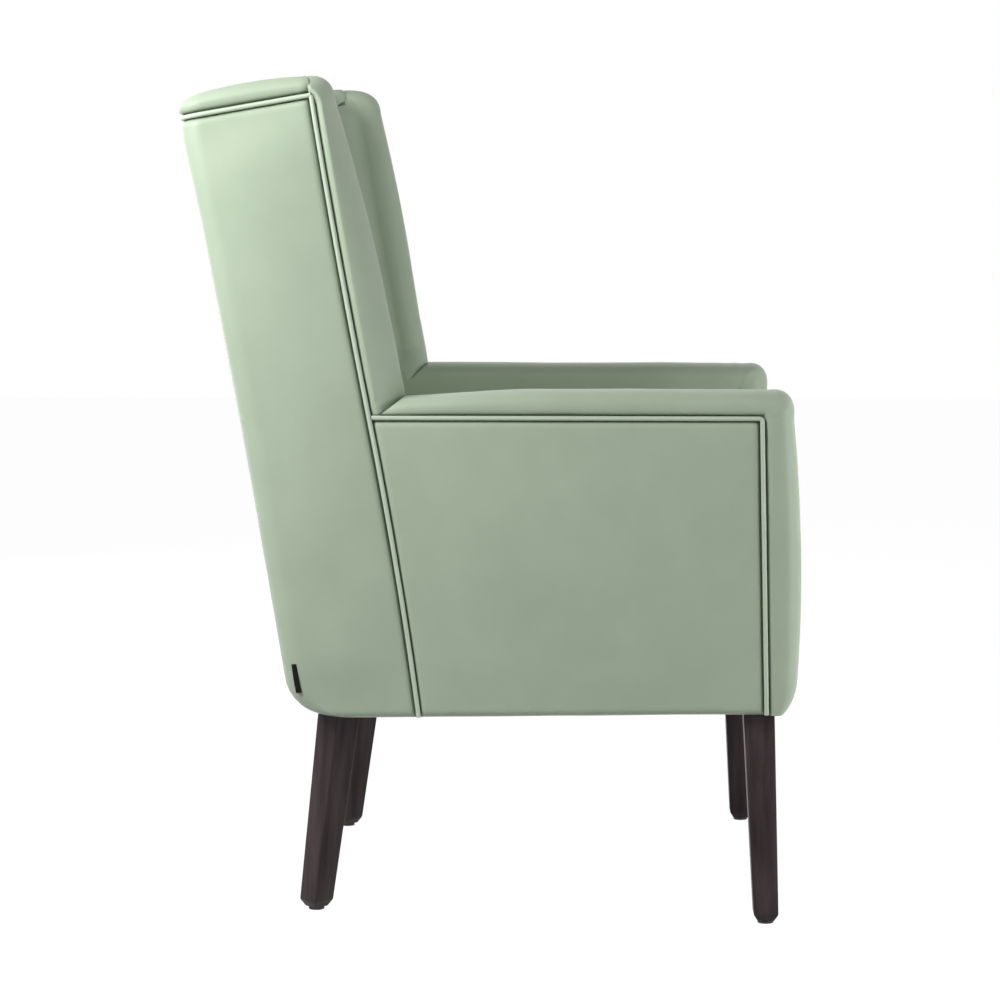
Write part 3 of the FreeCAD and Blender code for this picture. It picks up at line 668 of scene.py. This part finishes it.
def dress_frame():
    """Give the frame's own solids their materials."""
    for look, names in FRAME_NODES.items():
        for name in names:
            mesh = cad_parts[name].data
            mesh.materials.clear()
            mesh.materials.append(FRAME_LOOKS[look])


# Back

def outer_back():
    """Outside of the back: both sides, rounded rear corners and the rear, in one cover."""
    side_stops = stops(BACK_SIDE_DEPTH, step=7.0)
    side_stops = side_stops[: len(side_stops) - len(EDGE_STEPS) + 2] / BACK_SIDE_DEPTH
    side_stops /= side_stops[-1]
    turns = np.radians(np.linspace(0.0, 90.0, 13))[1:-1]
    rear_shares = np.linspace(1.0, -1.0, 70)
    rise = stops(BACK_RISE, step=9.0) / BACK_RISE
    no_seam = 99.0
    near_side = 1.0
    near_corner = 0.1

    def half_path(z, inset):
        """Plan points of the left side and corner at height z, and where the rear begins."""
        front = seam_y(z) + GAP
        rear = back_rear_y(z)
        centre = (SIDE_X - REAR_CORNER_R, rear - REAR_CORNER_R)
        path = [(SIDE_X - inset, front + s * (centre[1] - front)) for s in side_stops]
        for turn in turns:
            reach = REAR_CORNER_R - inset
            path.append((centre[0] + reach * math.cos(turn), centre[1] + reach * math.sin(turn)))
        return path, centre[0], rear - inset

    def point(column, share, inset):
        """A point of the cover and its distance from the top seam, settled in four rounds."""
        z = UNDERSIDE_Z + share * BACK_RISE
        for _ in range(4):
            path, half, rear = half_path(z, inset)
            count = len(path)
            if column < count:
                x, y = path[column]
            elif column >= count + len(rear_shares):
                x, y = path[2 * count + len(rear_shares) - 1 - column]
                x = -x
            else:
                x, y = half * rear_shares[column - count], rear
            low, high = hem_z(y), top_seam_z(y) - GAP
            z = low + share * (high - low)
        return np.array([x, y, z]), high - z

    def side_crown(flat, below_top):
        """0 to 1: the fullness of the padded side, none at its edges and none on the rear."""
        if abs(flat[0]) < SIDE_X - REAR_CORNER_R + near_corner:
            return 0.0
        front = seam_y(flat[2])
        across = (flat[1] - front) / (back_rear_y(flat[2]) - front)
        ends = smooth(below_top / PUFF_FADE) * smooth((flat[2] - hem_z(flat[1])) / PUFF_FADE)
        return math.sin(math.pi * min(max(across, 0.0), 1.0)) * ends

    columns = 2 * (len(side_stops) + len(turns)) + len(rear_shares)
    outer = np.zeros((len(rise), columns, 3))
    inner = np.zeros_like(outer)
    for i, share in enumerate(rise):
        for j in range(columns):
            flat, below_top = point(j, share, 0.0)
            on_side = abs(flat[0]) > SIDE_X - near_side
            seam_gap = flat[1] - seam_y(flat[2]) - GAP if on_side else no_seam
            inset = float(drops(seam_gap, below_top, flat[2] - hem_z(flat[1]) + HEM_EASE))
            inset -= SIDE_PUFF * side_crown(flat, below_top)
            outer[i, j] = point(j, share, inset)[0]
            inner[i, j] = point(j, share, BACK_LINING)[0]
    nodes = ["outer_back_cover", "outer_back_wadding", "back_wadding_left", "back_wadding_right"]
    piece = add_pad("outer_back", outer, inner, SAGE, nodes)
    ripple(piece, broad=0.9, fine=0.12)


def roll_section(seam, nose, draw_in, x_in, inner_start, powers, tail, level_tail=False):
    """Closed section of a padded roll in the plane of X and the line from its seam to its nose.

    draw_in is how far its outer face is drawn in. powers are those of its outer and inner quarter curves:
    2 is an ellipse, more is squarer and less is flatter. tail is the rest of the section, as (x, distance
    from the seam), and level_tail turns its part behind the seam straight to the rear.
    """
    seam = np.array(seam)
    along = np.array(nose) - seam
    length = np.linalg.norm(along)
    along /= length
    x_out = SIDE_X - draw_in
    middle = (x_out + x_in) / 2
    half = (x_out - x_in) / 2
    plan = [(x_out - float(drop(q)) * (1.0 - draw_in / TUCK), q) for q in EDGE_STEPS[:-2]]
    for angle in np.linspace(0.0, math.pi, 35):
        c, s = math.cos(angle), math.sin(angle)
        start, power = (LAP + TUCK_REACH, powers[0]) if c > 0 else (inner_start, powers[1])
        x = middle + half * math.copysign(abs(c) ** (2 / power), c)
        plan.append((x, start + (length - start) * abs(s) ** (2 / power)))
    plan += tail
    behind = np.array((-1.0, 0.0)) if level_tail else along
    return [(x, *(seam + (along if q > 0.0 else behind) * q)) for x, q in plan]


def wing(side, sign):
    """Side wing: a roll up the front edge of the back that bends over at the top to a mitre."""
    stations = []
    foot = ARM_SEAM_Z + GAP
    heights = [foot + EDGE_STEPS] + [np.linspace(*run) for run in WING_RUNS]
    for z in np.concatenate(heights):
        draw_in = WING_FOOT_DRAW * float(drop(z - foot))
        front = float(wing_front_y(z)) - wing_lead(sign, z)
        stations.append(((seam_y(z) - GAP, z), (front, z), draw_in))
    start = np.array(stations[-1][0])
    head = np.array((SEAM_HEAD[0] + WING_HEAD_BACK, SEAM_HEAD[1] + GAP))
    lead = wing_lead(sign, WING_BEND_Z)
    front = (float(wing_front_y(WING_BEND_Z)) - lead, WING_BEND_Z)
    for t in np.linspace(0.0, 1.0, 22):
        nose = bezier(front, (WING_BEND[0] - lead, WING_BEND[1]), WING_TIP, t)
        draw_in = MITRE_DRAW * np.clip((t - (1.0 - MITRE_SHARE)) / MITRE_SHARE, 0.0, 1.0) ** 2
        stations.append((start + (head - start) * t, nose, draw_in))
    rows = []
    for seam, nose, draw_in in stations:
        flare = smooth((WING_FLARE_Z - seam[1]) / WING_FLARE)
        inside = WING_IN_X + (ARM_INNER_X - WING_IN_X) * flare
        slope = [(inside + (ARM_INNER_X - inside) * s, WING_LAP - (WING_LAP + WING_INNER_DEPTH) * s)
                 for s in (0.25, 0.5, 0.75, 1.0)]
        depth = BACK_PAD_DEPTH + ROLL_SET
        rear = [(ARM_INNER_X, -depth), (WING_CORE_X, -depth), (WING_CORE_X, -ROLL_SET),
                (ROLL_BACK_X, -ROLL_SET)]
        section = roll_section(seam, nose, draw_in, inside, WING_LAP, WING_POWERS, slope + rear,
                               level_tail=True)
        rows.append([(sign * x, y, z) for x, y, z in section])
    nodes = [f"wing_cover_{side}", f"wing_foam_{side}"]
    piece = add_tube(f"wing_{side}", rows, SAGE, nodes)
    gather(piece, (seam_y(foot), foot), height=0.5, reach=36.0, folds=14.0)
    ripple(piece, broad=0.8, fine=0.15)


def top_roll():
    """Padded roll over the top of the back, in rings from its piped edge up to its crown."""
    levels = [(float(drop(q)), q / TOP_HEIGHT, 0.0) for q in EDGE_STEPS[:-2]]
    base = (LAP + TUCK_REACH) / TOP_HEIGHT
    for angle in np.radians(np.linspace(0.0, 90.0, 12)):
        levels.append((TOP_ROUND * (1 - math.cos(angle)), base + (1 - base) * math.sin(angle), 0.0))
    over = len(levels) - 1
    for share in np.linspace(0.0, 1.0, 9)[1:]:
        levels.append((TOP_ROUND + TOP_FLAT * share, 1.0, share))
    rows = []
    for index, (inset, rise, share) in enumerate(levels):
        x = SIDE_X - inset
        r = max(REAR_CORNER_R - inset, TOP_MIN_R)
        ends = bezier(*TOP_AT_WING, min(1.0, index / over))
        centre = bezier(*TOP_BETWEEN, min(1.0, index / over))
        front_y = ends[0] + (TOP_RIDGE_Y - ends[0]) * share
        bulge = TOP_BULGE * math.sin(math.pi * min(rise, 1.0)) if share == 0.0 else 0.0
        rear = TOP_REAR_Y - inset
        ring = []
        for y in np.linspace(front_y, rear - r, 40):
            mitre = MITRE_DRAW * np.clip(1.0 - (y - front_y) / MITRE_REACH, 0.0, 1.0) ** 2
            ring.append((x - mitre * (share == 0.0), y, None))
        for turn in np.radians(np.linspace(0.0, 90.0, 12))[1:]:
            ring.append((x - r + r * math.cos(turn), rear - r + (r + bulge) * math.sin(turn), None))
        left_side = list(ring)
        ring += [(s * (x - r), rear + bulge, None) for s in np.linspace(1.0, -1.0, 50)[1:-1]]
        ring += [(-a, b, c) for a, b, c in reversed(left_side)]
        for across in np.linspace(-x, x, 90)[1:-1]:
            dish = np.array((TOP_DISH * min(1.0, abs(across) / BACK_HALF) ** 2, 0.0))
            y, z = centre + dish + (ends - centre - dish) * smooth((abs(across) - TOP_STEP_X) / TOP_STEP)
            ring.append((across, y + (TOP_RIDGE_Y - y) * share, z if share == 0.0 else None))
        row = []
        for a, b, c in ring:
            low = top_seam_z(min(b, TOP_REAR_Y)) + GAP
            high = float(crown_z(b)) + TOP_CROWN * share * (1.0 - (a / SIDE_X) ** 2)
            row.append((a, b, low + rise * (high - low) if c is None else c))
        rows.append(row)
    piece = add_tube("top_roll", rows, SAGE, ["top_roll_cover", "top_roll_foam"])
    ripple(piece, broad=0.7, fine=0.15)


def inner_back():
    """Crowned pad between the wings, fuller at the small of the back."""
    half = BACK_HALF + BACK_OVERLAP
    across = stops(2 * half, step=12.0) - half
    heights = np.linspace(SEAT_BASE_Z + BACK_PAD_FOOT, SEAM_HEAD[1] + BACK_PAD_HEAD, 80)
    outer = np.zeros((len(heights), len(across), 3))
    inner = np.zeros_like(outer)
    for i, z in enumerate(heights):
        seam = seam_y(z)
        lumbar = LUMBAR * math.exp(-(((z - LUMBAR_Z) / LUMBAR_SPREAD) ** 2))
        bump = lumbar - HEAD_SET * smooth((z - HEAD_SET_Z) / HEAD_SET_RISE)
        tuck_left = 1.0 - smooth((z - SIDE_TUCK_END_Z) / SIDE_TUCK_END)
        for j, x in enumerate(across):
            share = x / half
            rise = BACK_SIDE_SET + BACK_CROWN + bump
            y = seam + BACK_SIDE_SET - rise * (1.0 - share**2)
            side_tuck = SIDE_TUCKS * float(drop(half - abs(x), SIDE_TUCK_REACH)) * tuck_left
            top_tuck = HEAD_TUCKS * float(drop(heights[-1] - z, HEAD_TUCK_REACH))
            outer[i, j] = (x, y + max(side_tuck, top_tuck), z)
            inner[i, j] = (x * BACK_PAD_TAPER, seam + BACK_PAD_DEPTH - BACK_PAD_CLEAR, z)
    piece = add_pad("inner_back", outer, inner, SAGE, ["inner_back_cover", "inner_back_foam"])
    ripple(piece, broad=1.4, fine=0.2)


# Arms

def arm_outer(side, sign):
    """Flat padded outside of the arm, turned in at its three piped seams."""
    top = ARM_SEAM_Z - GAP
    rise = stops(top - UNDERSIDE_Z, step=8.0) / (top - UNDERSIDE_Z)
    shares = stops(ARM_DEPTH, step=8.0) / ARM_DEPTH
    outer = np.zeros((len(rise), len(shares), 3))
    inner = np.zeros_like(outer)
    for i, up in enumerate(rise):
        for j, share in enumerate(shares):
            low = hem_z(ARM_HEM_FRONT_Y + ARM_HEM_RUN * share)
            z = low + up * (top - low)
            front = front_seam_y(z) + GAP
            rear = seam_y(z) - GAP
            y = front + (rear - front) * share
            inset = float(drops(y - front, rear - y, top - z, z - low + HEM_EASE))
            puff = ARM_PUFF * swell(share, up)
            outer[i, j] = (sign * (SIDE_X - inset + puff), y, z)
            inner[i, j] = (sign * PLY_X, y, z)
    nodes = [f"arm_outer_cover_{side}", f"arm_wadding_{side}"]
    ripple(add_pad(f"arm_outer_{side}", outer, inner, SAGE, nodes), broad=0.6, fine=0.12)


def arm_cap(side, sign):
    """Padded band over the arm, round its front corner and down its front."""
    base = ARM_SEAM_Z + GAP
    stations = []
    for y in np.linspace(ARM_REAR_Y, FRONT_SEAM_TOP_Y, 90):
        lean = ARM_LEAN * np.clip((y - ARM_LEAN_Y) / (ARM_REAR_Y - ARM_LEAN_Y), 0.0, 1.0)
        stations.append(((y, base), (y - lean, ARM_TOP_Z - arm_dip(sign, y - lean))))
    corner = (front_seam_y(base) - GAP, base)
    for y in np.linspace(FRONT_SEAM_TOP_Y - CAP_FAN_STEP, CAP_CORNER_Y + CAP_FAN_STEP, 4):
        stations.append((corner, (y, ARM_TOP_Z)))
    end = (float(cap_front_y(CAP_CORNER_Z)), CAP_CORNER_Z)
    for t in np.linspace(0.0, 1.0, 16):
        seam = (corner[0], base - t * (base - CAP_CORNER_Z))
        nose = bezier((CAP_CORNER_Y, ARM_TOP_Z), (CAP_CORNER_PULL_Y, ARM_TOP_Z), end, t)
        stations.append((seam, nose))
    upright = np.linspace(CAP_CORNER_Z - CAP_UPRIGHT_STEP, CAP_FOOT_Z, 54)
    foot = hem_z(CAP_FOOT_Y) - CAP_HEM_LAP + CAP_FOOT_STEPS[::-1]
    for z in np.concatenate([upright, foot]):
        stations.append(((front_seam_y(z) - GAP, z), (float(cap_front_y(z)), z)))
    rows = []
    for seam, nose in stations:
        # The inner lip is shorter near the corner, so that its two runs meet without crossing
        lip = min(max(seam[0] - corner[0], base - seam[1]) + LIP_START, INNER_LIP)
        # Inner face, its turned edge and the hidden side
        tail = [(ARM_INNER_X, LIP_TOP)]
        tail += [(ARM_INNER_X + out, up - lip) for out, up in LIP_FOLD]
        tail += [(ARM_INNER_X + LIP_BACK, -ROLL_SET), (ROLL_BACK_X, -ROLL_SET)]
        tuck = np.clip((seam[0] - ARM_REAR_TUCK_Y) / (ARM_REAR_Y - ARM_REAR_TUCK_Y), 0.0, 1.0)
        draw_in = ARM_REAR_TUCK * tuck**2
        section = roll_section(seam, nose, draw_in, ARM_INNER_X, CAP_LAP, CAP_POWERS, tail)
        rows.append([(sign * x, y, z) for x, y, z in section])
    nodes = [f"arm_cap_cover_{side}", f"arm_cap_foam_{side}"]
    piece = add_tube(f"arm_cap_{side}", rows, SAGE, nodes)
    gather(piece, corner, height=0.35, reach=50.0, folds=9.0)
    ripple(piece, broad=0.7, fine=0.15)


def arm_inner(side, sign):
    """Inside of the arm above the seat deck."""
    high = ARM_SEAM_Z + ARM_INNER_RISE
    heights = SEAT_BASE_Z + stops(high - SEAT_BASE_Z, step=12.0)
    shares = stops(ARM_INNER_DEPTH, step=12.0) / ARM_INNER_DEPTH
    outer = np.zeros((len(heights), len(shares), 3))
    inner = np.zeros_like(outer)
    for i, z in enumerate(heights):
        front = front_seam_y(z) + INNER_LIP - LIP_LAP
        rear = seam_y(z) + BACK_SIDE_SET + ARM_INNER_BEHIND
        y = front + (rear - front) * shares
        inset = ARM_INNER_TUCKS * drops(y - front - LIP_LAP, ARM_SEAM_Z - INNER_LIP - z, rear - y)
        level = np.full_like(y, z)
        lining = np.full_like(y, sign * (ARM_INNER_X + ARM_INNER_LINING))
        outer[i] = np.stack([sign * (ARM_INNER_X + inset), y, level], axis=1)
        inner[i] = np.stack([lining, y, level], axis=1)
    nodes = [f"arm_inner_cover_{side}", f"arm_inner_foam_{side}"]
    ripple(add_pad(f"arm_inner_{side}", outer, inner, SAGE, nodes), broad=0.3, fine=0.1)


# Piped seams

def add_welt(name, path, radius, nodes, closed=False):
    """A round piping cord along a path, its sections kept square to the path."""
    path = np.array(path, float)
    after = np.roll(path, -1, axis=0) - path
    before = path - np.roll(path, 1, axis=0)
    if not closed:
        after[-1] = before[-1]
        before[0] = after[0]
    directions = after / np.linalg.norm(after, axis=1)[:, None]
    directions = directions + before / np.linalg.norm(before, axis=1)[:, None]
    rows = []
    turns = np.radians(np.arange(0, 360, 24))
    reference = Vector((1, 0, 0)) if abs(directions[0][0]) < 0.9 else Vector((0, 0, 1))
    for point, direction in zip(path, directions):
        along = Vector(direction).normalized()
        reference = (reference - along * reference.dot(along)).normalized()
        other = along.cross(reference)
        rows.append([Vector(point) + radius * (reference * math.cos(turn) + other * math.sin(turn))
                     for turn in turns])
    if closed:
        rows.append(rows[0])
    add_tube(name, rows, PIPING, nodes)


def arm_welt(side, sign):
    """Piping along the top of the arm's outside and down its front."""
    rear = seam_y(ARM_SEAM_Z) - WELT_R
    corner = (FRONT_SEAM_TOP_Y, ARM_SEAM_Z)
    before = (corner[0] + ARM_WELT_CORNER, corner[1])
    after = (corner[0], corner[1] - ARM_WELT_CORNER)
    path = [(y, ARM_SEAM_Z) for y in np.linspace(rear, before[0] + ARM_WELT_STEP, 60)]
    path += [bezier(before, corner, after, t) for t in np.linspace(0.0, 1.0, 7)]
    heights = np.linspace(after[1] - ARM_WELT_STEP, hem_z(FRONT_SEAM_FOOT_Y), 50)
    path += [(front_seam_y(z), z) for z in heights]
    add_welt(f"arm_welt_{side}", [(sign * WELT_X, y, z) for y, z in path], WELT_R, [f"arm_welt_{side}"])


def back_welt(side, sign):
    """Piping up the side seam of the back."""
    heights = np.linspace(hem_z(SEAM_FOOT[0]), SEAM_HEAD[1], 90)
    path = [(sign * WELT_X, seam_y(z), z) for z in heights]
    add_welt(f"back_welt_{side}", path, WELT_R, [f"back_welt_{side}"])


def top_welt():
    """Piping under the top roll, along both sides and round the rear."""
    r = REAR_CORNER_R - TOP_WELT_INSET
    centre = (WELT_X - r, TOP_WELT_Y - r)
    half = [(WELT_X, y) for y in np.linspace(SEAM_HEAD[0], centre[1], 24)]
    half += [(centre[0] + r * math.cos(a), centre[1] + r * math.sin(a))
             for a in np.radians(np.linspace(0.0, 90.0, 12))[1:]]
    middle = [(s * centre[0], TOP_WELT_Y) for s in np.linspace(1.0, -1.0, 40)[1:-1]]
    plan = half + middle + [(-x, y) for x, y in reversed(half)]
    add_welt("top_welt", [(x, y, top_seam_z(y)) for x, y in plan], WELT_R, ["top_welt"])


# Seat

def seat_ring(z, inset):
    """Rounded rectangle between the arms, ending just before the inner back."""
    corner_points = 11
    side_points = 34
    r = max(SEAT_CORNER_R - SEAT_CORNER_SHRINK * inset, SEAT_CORNER_MIN_R)
    x = BACK_HALF - inset - r
    front = SEAT_FRONT_Y + inset + r
    rear = seam_y(z) - BACK_CROWN - LUMBAR - SEAT_REAR_GAP - inset - r
    ring = []
    for cx, cy, start in ((x, front, -90.0), (x, rear, 0.0), (-x, rear, 90.0), (-x, front, 180.0)):
        for turn in np.radians(np.linspace(start, start + 90.0, corner_points)):
            ring.append(np.array((cx + r * math.cos(turn), cy + r * math.sin(turn), z)))
    divided = []
    for k, point in enumerate(ring):
        following = ring[(k + 1) % len(ring)]
        pieces = side_points if k % corner_points == corner_points - 1 else 1
        divided += [point + (following - point) * step / pieces for step in range(pieces)]
    return divided


def seat():
    """Box cushion with swelling walls, a piped top edge and a crowned top."""
    tuck = 2 * SEAT_WELT_R
    rise = SEAT_TOP_Z - SEAT_EDGE_Z
    rings = []
    for share in np.linspace(0.0, 1.0, 17):
        z = SEAT_BASE_Z + share * (SEAT_EDGE_Z - SEAT_BASE_Z)
        rings.append(seat_ring(z, tuck - tuck * math.sin(math.pi * share) ** SEAT_WALL_POWER))
    for share in np.linspace(0.0, 1.0, 21)[1:]:
        z = SEAT_EDGE_Z + rise * (1.0 - (1.0 - share) ** SEAT_CROWN_POWER)
        rings.append(seat_ring(z, tuck + SEAT_FLAT_INSET * share))
    piece = add_tube("seat_cushion", rings, SAGE, ["seat_cover", "seat_foam"])
    ripple(piece, broad=1.2, fine=0.15)


def seat_welt():
    """Piping round the cushion's top edge, resting against it."""
    lift = math.radians(SEAT_WELT_LIFT)
    away = SEAT_WELT_R + SEAT_WELT_CLEAR
    ring = seat_ring(SEAT_EDGE_Z + away * math.sin(lift), 2 * SEAT_WELT_R - away * math.cos(lift))
    add_welt("seat_welt", ring, SEAT_WELT_R, ["seat_welt"], closed=True)


def front_border():
    """Padded front below the seat cushion, between the arms."""
    half = BACK_HALF + BORDER_OVERLAP
    across = stops(2 * half, step=12.0) - half
    heights = UNDERSIDE_Z + stops(SEAT_BASE_Z + BORDER_RISE - UNDERSIDE_Z, step=6.0)
    outer = np.zeros((len(heights), len(across), 3))
    inner = np.zeros_like(outer)
    for i, z in enumerate(heights):
        share = (z - UNDERSIDE_Z) / (SEAT_BASE_Z - UNDERSIDE_Z)
        face = BORDER_FRONT_Y - BORDER_CROWN * math.sin(math.pi * share)
        inset = drops(across + half, half - across, z - UNDERSIDE_Z, SEAT_BASE_Z - z)
        level = np.full_like(across, z)
        outer[i] = np.stack([across, face + inset, level], axis=1)
        inner[i] = np.stack([across, np.full_like(across, BORDER_REAR_Y), level], axis=1)
    piece = add_pad("front_border", outer, inner, SAGE, ["front_border_cover", "front_border_foam"])
    ripple(piece, broad=0.5, fine=0.12)


def side_tab():
    """Small plain ribbon tab on the rounded rear edge of the right side, leaning with it."""
    turn = math.radians(TAB_TURN)
    reach = REAR_CORNER_R + TAB_CLEAR
    place = Vector((-SIDE_X + REAR_CORNER_R - reach * math.cos(turn),
                    rear_y(TAB_Z) - REAR_CORNER_R + reach * math.sin(turn), TAB_Z))
    lean = rear_y(TAB_Z + TAB_LEAN_RUN) - rear_y(TAB_Z - TAB_LEAN_RUN)
    along = Vector((0.0, lean, 2 * TAB_LEAN_RUN)).normalized()
    out = Vector((-math.cos(turn), math.sin(turn), 0.0))
    out = (out - along * out.dot(along)).normalized()
    across = along.cross(out)
    rows, cols = 19, 9
    outer = np.zeros((rows, cols, 3))
    inner = np.zeros_like(outer)
    for i, v in enumerate(np.linspace(-TAB_HALF_LENGTH, TAB_HALF_LENGTH, rows)):
        for j, u in enumerate(np.linspace(-TAB_HALF_WIDTH, TAB_HALF_WIDTH, cols)):
            wave = TAB_WAVE * math.cos(TAB_WAVE_TURN * v / TAB_HALF_LENGTH)
            lift = wave + TAB_CROWN * (1.0 - (u / TAB_HALF_WIDTH) ** 2)
            base = place + along * v + across * u
            outer[i, j] = base + out * (TAB_THICKNESS + lift)
            inner[i, j] = base + out * lift
    add_pad("side_tab_ribbon", outer, inner, TAB_CLOTH, ["side_tab"])


# Legs

def square(centre, size, turn, z):
    """Corners of a level square."""
    reach = size / math.sqrt(2.0)
    angles = np.radians(45.0 + turn + 90.0 * np.arange(4))
    return [(centre[0] + reach * math.cos(a), centre[1] + reach * math.sin(a), z) for a in angles]


def leg(place, side, sign):
    """Tapered leg with eased edges and a bevelled tip."""
    top, foot, turn = LEGS[place]
    rings = [square(foot, 2 * GLIDE_R, turn, GLIDE_H), square(foot, LEG_FOOT, turn, GLIDE_H + TIP_H),
             square(top, LEG_TOP, turn, LEG_TOP_Z)]
    rings = [[(sign * x, y, z) for x, y, z in ring] for ring in rings]
    piece = add_tube(f"leg_{place}_{side}", rings, LEG_WOOD, [f"leg_{place}_{side}"])
    bevel = piece.modifiers.new("eased_edges", "BEVEL")
    bevel.width = LEG_EDGE * MM
    bevel.segments = LEG_EDGE_CUTS
    bevel.limit_method = "ANGLE"
    bevel.angle_limit = math.radians(LEG_EDGE_ANGLE)


# Camera, light and floor

def add_camera():
    """A long lens on the chair's right, above its arms and looking slightly down."""
    yaw = math.radians(CAMERA_YAW)
    pitch = math.radians(CAMERA_PITCH)
    forward = Vector((math.cos(pitch) * math.cos(yaw), math.cos(pitch) * math.sin(yaw), -math.sin(pitch)))
    data = bpy.data.cameras.new("camera")
    data.sensor_width = SENSOR
    data.lens = LENS
    data.clip_end = CAMERA_REACH
    camera = bpy.data.objects.new("camera", data)
    camera.location = CAMERA_PLACE
    camera.rotation_euler = forward.to_track_quat("-Z", "Y").to_euler()
    bpy.context.scene.collection.objects.link(camera)
    bpy.context.scene.camera = camera


def add_lamp(name, place, target, size, power):
    """A soft square lamp."""
    data = bpy.data.lights.new(name, "AREA")
    data.size = size
    data.energy = power
    lamp = bpy.data.objects.new(name, data)
    lamp.location = place
    aim = Vector(target) - Vector(place)
    lamp.rotation_euler = aim.to_track_quat("-Z", "Y").to_euler()
    bpy.context.scene.collection.objects.link(lamp)


def mix_by_ray(nodes, links, lighting, seen):
    """One shader for the light that falls on the chair, another for what the camera sees.

    Rays by way of gloss and glass count as the camera's.
    """
    path = nodes.new("ShaderNodeLightPath")
    total = path.outputs["Is Camera Ray"]
    for ray in ("Is Glossy Ray", "Is Transmission Ray"):
        adding = nodes.new("ShaderNodeMath")
        adding.operation = "MAXIMUM"
        links.new(total, adding.inputs[0])
        links.new(path.outputs[ray], adding.inputs[1])
        total = adding.outputs[0]
    mix = nodes.new("ShaderNodeMixShader")
    links.new(total, mix.inputs["Fac"])
    links.new(lighting.outputs[0], mix.inputs[1])
    links.new(seen.outputs[0], mix.inputs[2])
    return mix.outputs[0]


def add_world():
    """Faint even light, and a white background."""
    world = bpy.data.worlds.new("studio")
    world.use_nodes = True
    bpy.context.scene.world = world
    nodes, links = world.node_tree.nodes, world.node_tree.links
    nodes.clear()
    ambient = nodes.new("ShaderNodeBackground")
    ambient.inputs["Color"].default_value = WHITE
    ambient.inputs["Strength"].default_value = AMBIENT
    white = nodes.new("ShaderNodeBackground")
    white.inputs["Color"].default_value = WHITE
    output = nodes.new("ShaderNodeOutputWorld")
    links.new(mix_by_ray(nodes, links, ambient, white), output.inputs["Surface"])


def add_floor():
    """Plain white floor that glows just enough to match the background and keeps a faint shadow."""
    mesh = bpy.data.meshes.new("floor")
    corners = [(x * FLOOR_REACH, y * FLOOR_REACH, 0.0) for x, y in ((-1, -1), (1, -1), (1, 1), (-1, 1))]
    mesh.from_pydata(corners, [], [(0, 1, 2, 3)])
    floor = bpy.data.objects.new("floor", mesh)
    bpy.context.scene.collection.objects.link(floor)
    material = bpy.data.materials.new("floor")
    material.use_nodes = True
    nodes, links = material.node_tree.nodes, material.node_tree.links
    nodes.clear()
    plain = nodes.new("ShaderNodeBsdfDiffuse")
    plain.inputs["Color"].default_value = (FLOOR_GREY, FLOOR_GREY, FLOOR_GREY, 1.0)
    shaded = nodes.new("ShaderNodeBsdfDiffuse")
    shaded.inputs["Color"].default_value = (FLOOR_SHADE, FLOOR_SHADE, FLOOR_SHADE, 1.0)
    glow = nodes.new("ShaderNodeEmission")
    glow.inputs["Strength"].default_value = FLOOR_GLOW
    lit = nodes.new("ShaderNodeAddShader")
    links.new(shaded.outputs[0], lit.inputs[0])
    links.new(glow.outputs[0], lit.inputs[1])
    output = nodes.new("ShaderNodeOutputMaterial")
    links.new(mix_by_ray(nodes, links, plain, lit), output.inputs["Surface"])
    mesh.materials.append(material)


add_camera()
add_world()
add_floor()
for name, (place, target, size, power) in LAMPS.items():
    add_lamp(name, place, target, size, power)
bpy.context.scene.view_settings.view_transform = "Standard"

dress_frame()
outer_back()
top_roll()
inner_back()
top_welt()
seat()
seat_welt()
front_border()
side_tab()
for side, sign in SIDES.items():
    wing(side, sign)
    arm_outer(side, sign)
    arm_cap(side, sign)
    arm_inner(side, sign)
    arm_welt(side, sign)
    back_welt(side, sign)
    for place in LEGS:
        leg(place, side, sign)
